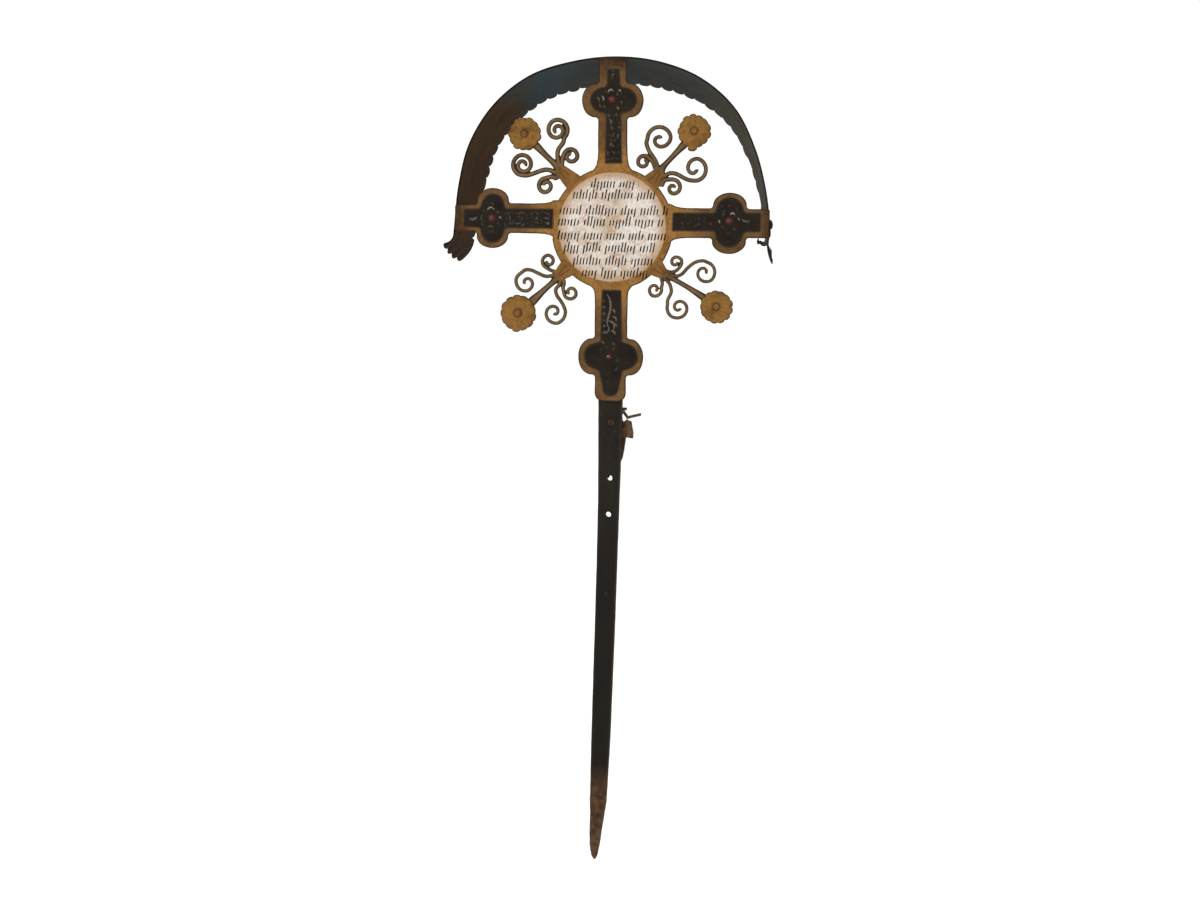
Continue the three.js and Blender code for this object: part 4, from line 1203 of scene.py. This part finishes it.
def rivet_profile(radius, height, length):
    quarter = np.linspace(0, math.pi / 2, 9)
    head = [(radius * math.sin(a), height * (1 - math.cos(a)) * 0.86) for a in quarter]
    tail = height + length + RIVET_TAIL_HEIGHT
    return [
        *head, (radius, height), (RIVET_SHANK, height), (RIVET_SHANK, height + length),
        (RIVET_TAIL_RADIUS, height + length), (RIVET_TAIL_RADIUS * 0.95, height + length + 1.0),
        (RIVET_TAIL_RADIUS * 0.7, tail - 0.3), (RIVET_TAIL_RADIUS * 0.35, tail), (0, tail),
    ]


def make_roof_rivet(name):
    s = station_of(ARMS[name])
    height = ROOF_RIVET_HEADS[name]

    def spot(ds=0, dy=0):
        return Vector(sheet_points(s + ds, ROOF_RIVET_AT + dy, 0, 1))

    seat = spot()
    along = spot(ds=1) - spot(ds=-1)
    across = spot(dy=1) - spot(dy=-1)
    normal = along.cross(across).normalized()
    if normal.dot(seat - Vector((0, 0, RING_Z))) < 0:
        normal.negate()
    profile = rivet_profile(ROOF_RIVET_RADIUS, height, ROOF_THICK + PLATE_THICK + 3 * GAP)
    return make_rivet(f"roof_fixing_{name}", seat + normal * (GAP + height), -normal, profile, s)


def make_shaft_rivet(name, place, radius, back):
    x, z = place
    profile = rivet_profile(radius, RIVET_HEAD, back - SHAFT_FRONT + 2 * GAP)
    return make_rivet(name, (x, SHAFT_FRONT - GAP - RIVET_HEAD, z), (0, 1, 0), profile, z)


# Shaft

def section(half, deep, corner):
    """A rounded rectangle, 36 points, with how near each is to a corner."""
    rows = []
    for sx, sy, start in ((1, -1, -90), (1, 1, 0), (-1, 1, 90), (-1, -1, 180)):
        centre = (sx * (half - corner), sy * (deep - corner))
        rows.append(arc(centre, (corner, corner), start, start + 90, 3))
    corners = np.vstack(rows)
    loop, near = [], []
    for k in range(4):
        group = corners[4 * k:4 * k + 4]
        after = corners[(4 * k + 4) % 16]
        loop.extend(group)
        near.extend([0.7, 1, 1, 0.7])
        for share in (0.12, 0.3, 0.5, 0.7, 0.88):
            loop.append(mix(group[3], after, share))
            near.append(0)
    return np.array(loop), np.array(near)


def make_shaft():
    stations = np.array(SHAFT, float)
    heights = np.unique(np.concatenate([np.arange(-171, -60, 2.2), np.arange(-60, 985, 5.0), [985.0]]))
    rows, points, near = [], [], []
    for z in heights:
        x, width, depth = (np.interp(z, stations[:, 0], stations[:, k]) for k in (1, 2, 3))
        loop, closeness = section(width / 2, depth / 2, min(1.7, width / 4, depth / 4))
        rusted = 1 - smoothstep(z, -60, 25)
        rows.append(range(len(points), len(points) + len(loop)))
        for (px, py), c in zip(loop, closeness):
            push = 0.28 * lumps(px + x, py * 3, z, 26, 2) + rusted * 0.55 * lumps(px, py * 3, z, 7, 3)
            away = Vector((px / (width / 2), py / (depth / 2))).normalized()
            inward = min(0.0, push - 0.25)
            points.append((x + px + away.x * inward, py + away.y * inward, z))
            near.append(c)
    faces = []
    tube(rows, faces)
    shaft = build("forged_shaft", points, faces, 30, corner=near)
    places = [(place, BOLT_HOLE_RADIUS) for place in BOLT_HOLES]
    places += [(place, RIVET_SHANK + GAP) for place in (UPPER_RIVET, LOWER_RIVET)]
    for (x, z), radius in places:
        work = bmesh.new()
        turn = Matrix.Translation(Vector((x, 0, z)) * MM) @ Matrix.Rotation(math.pi / 2, 4, "X")
        bmesh.ops.create_cone(work, cap_ends=True, segments=36, radius1=radius * MM, radius2=radius * MM,
                              depth=0.05, matrix=turn)
        mesh = bpy.data.meshes.new("drill")
        work.to_mesh(mesh)
        work.free()
        drill = link(bpy.data.objects.new("drill", mesh))
        cut = shaft.modifiers.new("hole", "BOOLEAN")
        cut.operation, cut.object, cut.solver = "DIFFERENCE", drill, "EXACT"
        applied(shaft)
        bpy.data.objects.remove(drill)
    shaft.data.shade_smooth()
    shaft.data.set_sharp_from_angle(angle=math.radians(30))
    return shaft


# Sprays

def scroll_path(spray, scroll):
    via, eye, entry, hand, outer, inner, hold, closed, sweep = scroll
    steps = round(sweep / COIL_STEP)
    turned = np.arange(steps + 1) / steps * sweep
    closing = clamp((turned - hold) / (closed - hold), 0, 1) ** 0.85
    radius = mix(outer, inner, closing)
    angle = np.radians(entry + hand * turned)
    coil = np.column_stack([eye[0] + radius * np.cos(angle), eye[1] + radius * np.sin(angle)])
    lead = spline(np.vstack([[spray["root"]], via, coil[:2]]), 6)
    return np.vstack([lead[:-7], spline(coil, 4)])


def stem_path(spray):
    """Places along the stem with its width there, from the palm to a point under the rosette."""
    stem = np.array(spray["stem"], float)
    under = mix(stem[-1, :2], np.array(spray["rosette"], float), 0.5)
    return spline(np.vstack([stem, [*under, stem[-1, 2]]]), 8)


def bar_mesh(path, halves, y, points, faces):
    """A bar of rounded section added to points and faces."""
    angles = np.arange(14) * 2 * math.pi / 14
    across = np.sign(np.sin(angles)) * np.abs(np.sin(angles)) ** 0.7
    deep = np.sign(np.cos(angles)) * np.abs(np.cos(angles)) ** 0.7
    tangent = np.gradient(path, axis=0)
    tangent /= np.linalg.norm(tangent, axis=1, keepdims=True)
    rings = []
    for (x, z), (tx, tz), half in zip(path, tangent, halves):
        ring = []
        for a, d in zip(across, deep):
            ring.append(len(points))
            points.append((x - tz * a * half, y + d * TINE_DEPTH / 2, z + tx * a * half))
        rings.append(ring)
    tube(rings, faces)


def make_spray(name):
    spray = SPRAYS[name]
    y = PLATE_FRONT - GAP - TINE_DEPTH / 2
    points, faces = [], []
    lines = []
    stem = stem_path(spray)
    halves = stem[:, 2] / 2 + SMOOTHING_LOSS
    bar_mesh(stem[:, :2], halves, y, points, faces)
    lines.append((stem[:, :2], halves))
    for scroll in spray["scrolls"]:
        path = scroll_path(spray, scroll)
        u = np.linspace(0, 1, len(path))
        halves = spray["width"] * mix(1.08, 0.86, u) / 2 + SMOOTHING_LOSS
        halves[-4:] *= (0.97, 0.9, 0.78, 0.6)
        bar_mesh(path, halves, y, points, faces)
        lines.append((path, halves))
    made = build(f"forged_spray_{name}", points, faces)
    forged(made, SPRAY_VOXEL)
    shape = coordinates(made)
    normals = point_normals(made)
    hammer = np.array([0.16 * lumps(px, py, pz, 9, 2) for px, py, pz in shape])
    shape = shape + normals * (hammer - 0.05)[:, None]
    back = y + TINE_DEPTH / 2
    flat = shape[:, [0, 2]]
    gaps, widths = [], []
    for path, halves in lines:
        gap, along = line_distance(flat, path)
        half = np.interp(along, np.linspace(0, 1, len(halves)), halves)
        gaps.append(gap / half)
        widths.append(half)
    reach = np.linalg.norm(flat - (0, RING_Z), axis=1)
    thin = 0.15 + 0.85 * smoothstep(reach, 112, 140)
    beyond = np.linalg.norm(flat - spray["rosette"], axis=1) - spray["radius"]
    thin = thin * (0.5 + 0.5 * smoothstep(beyond, -2, 8))
    shape[:, 1] = np.minimum(mix(back, shape[:, 1], thin), back)
    move_points(made, shape)
    palm = smoothstep(widths[0], 7.5, 12) * (1 - smoothstep(gaps[0], 0.95, 1.25))
    gaps = np.sort(np.array(gaps), axis=0)
    root = np.array(spray["root"], float)
    away = np.linalg.norm(flat - root, axis=1)
    # Painted shade in the creases where two tines meet and along the palm's fold lines, kept as a point
    # attribute.
    overlap = 1 - smoothstep(gaps[1], 0.85, 1.15)
    near_root = smoothstep(away, 3, 12) * (1 - smoothstep(away, 26, 40))
    painted_crease_shade = 0.8 * overlap * smoothstep(gaps[0], 0.55, 0.9) * near_root
    axis = (root - (0, RING_Z)) / np.linalg.norm(root - (0, RING_Z))
    across = np.array((-axis[1], axis[0]))
    for offset in PALM_FOLDS:
        fold = np.array([root + across * offset * 0.4 + axis * 6, root + across * offset * 1.5 - axis * 18])
        gap, _ = line_distance(flat, fold)
        painted_crease_shade = np.maximum(painted_crease_shade, 0.75 * (1 - smoothstep(gap, 0.4, 1.5)))
    # The side attribute, a point's distance from the middle of its tine, places the painted shade along the
    # tines' sides.
    add_attribute(made, "side", gaps[0] * (1 - 0.55 * palm))
    add_attribute(made, "palm", palm)
    add_attribute(made, "painted_crease_shade", painted_crease_shade)
    made.data.shade_smooth()
    return made


def make_rosette(name):
    """A scalloped, slightly domed rosette with hammered petals and a boss."""
    spray = SPRAYS[name]
    (cx, cz), radius = spray["rosette"], spray["radius"]
    y = PLATE_FRONT - GAP - TINE_DEPTH / 2
    maker = random.Random(name)
    longer = [maker.uniform(-1.6, 1.0) for _ in range(ROSETTE_PETALS)]
    tips = [maker.uniform(-0.7, 0.7) for _ in range(ROSETTE_PETALS)]
    at, extra = LONG_PETAL.get(name, (0, 0))
    sides = ROSETTE_PETALS * 14
    points = [(cx, y - 8.4, cz)]
    rim, groove = [radius], [0.0]
    rings = []
    for share in ROSETTE_RINGS:
        ring = []
        for k in range(sides):
            angle = 2 * math.pi * k / sides
            turn = angle / (2 * math.pi) * ROSETTE_PETALS
            petal = int(turn) % ROSETTE_PETALS
            lobe = math.sqrt(abs(math.sin(math.pi * turn)))
            reach = radius + longer[petal] * lobe - 3.0 * (1 - lobe)
            reach += extra * float(smoothstep(math.cos(angle - math.radians(at)), 0.955, 0.975))
            r = mix(radius * share, reach * share, share**2)
            dome = 3.2 * (1 - share**2)
            if share < 0.18:
                front = y - 4.6 - 3.6 * math.sqrt(max(0.0, 1 - (share / 0.175) ** 2))
            else:
                crease = (1 - lobe) * smoothstep(share, 0.78, 1.0) * 1.1
                lift = tips[petal] * lobe * smoothstep(share, 0.6, 1.0)
                front = y - 1.2 - dome + crease - lift + (0.9 if share > 0.985 else 0)
            x, z = cx + r * math.cos(angle), cz + r * math.sin(angle)
            front += 0.35 * lumps(x, 2, z, 11, 2) * smoothstep(share, 0.2, 0.4)
            ring.append(len(points))
            points.append((x, front, z))
            rim.append(reach * (1 - share))
            # Painted shade: darker in the notches between petals near the rim and in the ring round the
            # boss.
            groove.append((1 - lobe) * smoothstep(share, 0.84, 0.99) + (1.1 if 0.16 < share < 0.25 else 0))
        rings.append(ring)
    turns = 2 * math.pi * np.arange(sides) / sides
    edge = [(points[k][0], points[k][2]) for k in rings[-1]]
    middle = [(cx + radius * 0.5 * math.cos(a), cz + radius * 0.5 * math.sin(a)) for a in turns]
    for loop in (edge, middle):
        rings.append(list(range(len(points), len(points) + sides)))
        points += [(x, y + ROSETTE_BACK, z) for x, z in loop]
        rim += [0] * sides
        groove += [0] * sides
    faces = []
    strips(rings, faces, closed=True)
    for k in range(sides):
        faces.append((0, rings[0][(k + 1) % sides], rings[0][k]))
    faces.append(tuple(rings[-1]))
    return build(f"scalloped_rosette_{name}", points, faces, 42, rim=rim, groove=groove)


# Bracket

def make_bracket():
    """The bracket's solid with its edges worn round and its faces pitted."""
    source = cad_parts["bracket"]
    made = bpy.data.objects.new("rusted_bracket", source.data.copy())
    link(made)
    made.data.materials.clear()
    forged(made, BRACKET_VOXEL)
    shape = coordinates(made)
    normals = point_normals(made)
    pits = np.array([0.35 * lumps(x, y, z, 9, 3) + 0.18 * lumps(x, y, z, 3, 2) for x, y, z in shape])
    shape = shape + normals * clamp(pits - 0.1, -0.8, 0.3)[:, None]
    shape[:, 1] = np.maximum(shape[:, 1], SHAFT_BACK + GAP * 0.7)
    move_points(made, shape)
    made.data.shade_smooth()
    return made


# Stage, light and camera

FLOOR_Z = -176
FLOOR_REACH = 9000


def make_stage():
    corners = ((-1, -1), (1, -1), (1, 1), (-1, 1))
    points = [(x * FLOOR_REACH, y * FLOOR_REACH, FLOOR_Z) for x, y in corners]
    floor = build("pale_floor", points, [(0, 1, 2, 3)])
    f = Finish("pale_floor_paint", specular=0.1)
    color = f.mixed(f.noise(3, 3), (0.96, 0.96, 0.955, 1), (0.98, 0.98, 0.975, 1))
    floor.data.materials.append(f.done(color, 0.9))


def area_light(name, place, target, size, power):
    data = bpy.data.lights.new(name, "AREA")
    data.shape, data.size, data.energy = "DISK", size, power
    made = bpy.data.objects.new(name, data)
    made.location = place
    made.rotation_euler = (Vector(target) - Vector(place)).to_track_quat("-Z", "Y").to_euler()
    link(made)


def make_light():
    """A white studio, bright overhead and behind the object, with a key light and a fill light."""
    world = bpy.data.worlds.new("studio")
    bpy.context.scene.world = world
    world.use_nodes = True
    tree = world.node_tree
    ground = tree.nodes["Background"]
    place = tree.nodes.new("ShaderNodeTexCoord")
    parts = tree.nodes.new("ShaderNodeSeparateXYZ")
    tree.links.new(place.outputs["Generated"], parts.inputs[0])
    total = tree.nodes.new("ShaderNodeMath")
    # Light grows toward the back and, above, toward the zenith: from, to, least, most
    bands = (("Y", (-0.5, 0.45, 0.32, 1.05)), ("Z", (0.45, 0.9, 0.0, 0.85)))
    for k, (axis, numbers) in enumerate(bands):
        reach = tree.nodes.new("ShaderNodeMapRange")
        reach.interpolation_type = "SMOOTHSTEP"
        for socket, value in zip(list(reach.inputs)[1:], numbers):
            socket.default_value = value
        tree.links.new(parts.outputs[axis], reach.inputs[0])
        tree.links.new(reach.outputs[0], total.inputs[k])
    tree.links.new(total.outputs[0], ground.inputs["Strength"])
    ground.inputs["Color"].default_value = (1, 1, 1, 1)
    area_light("key", (-2.2, -3.4, 3.2), (0, 0, 0.9), 1.8, 58)
    area_light("fill", (3.4, -1.6, 1.4), (0, 0, 0.8), 1.6, 14)


CAMERA_PLACE = (0.43126, -3.0, 0.8378)
CAMERA_RIGHT = Vector((0.9886686, 0.14839627, 0.02264833))
CAMERA_UP = Vector((-0.03106081, 0.05461906, 0.99802404))
CAMERA_AHEAD = Vector((-0.14686601, 0.98741851, -0.05860946))


def make_camera():
    data = bpy.data.cameras.new("camera")
    data.lens = 45.6
    data.sensor_width = 36
    made = bpy.data.objects.new("camera", data)
    rows = Matrix((CAMERA_RIGHT, CAMERA_UP, -CAMERA_AHEAD)).transposed().to_4x4()
    made.matrix_world = Matrix.Translation(CAMERA_PLACE) @ rows
    bpy.context.scene.camera = link(made)


make_camera()
make_stage()
make_light()
bpy.context.scene.view_settings.view_transform = "Standard"

plate_material = cross_paint()
iron = shaft_paint()
rust = rusty_iron()
black_iron = rusty_iron("blackened_iron", 0.55)
gold = tine_paint()
ochre = rosette_paint()

dress(make_plate(), plate_material, "painted_plate", "cross_plate")
for arm_name in ROOF_RIVET_HEADS:
    dress(make_tab(arm_name), black_iron, "painted_plate", "cross_plate")
dress(make_inscription(), stroke_paint(), "painted_plate")
dress(make_roof(), roof_paint(), "roof_sheet", "roof")
for arm_name in ROOF_RIVET_HEADS:
    dress(make_roof_rivet(arm_name), black_iron, "dark_iron", f"roof_rivet_{arm_name}")
for spray_name in SPRAYS:
    dress(make_spray(spray_name), gold, "gold_paint", f"spray_{spray_name}")
    dress(make_rosette(spray_name), ochre, "gold_paint", f"spray_{spray_name}")
dress(make_shaft(), iron, "dark_iron", "shaft")
bracket_rivet = make_shaft_rivet("bracket_rivet", UPPER_RIVET, 6.8, SHAFT_BACK + GAP + STRAP_THICK)
dress(bracket_rivet, rust, "rusty_iron", "shaft_rivet_upper")
lower_rivet = make_shaft_rivet("lower_shaft_rivet", LOWER_RIVET, 6, SHAFT_BACK)
dress(lower_rivet, black_iron, "dark_iron", "shaft_rivet_lower")
dress(make_bracket(), rust, "rusty_iron", "bracket")
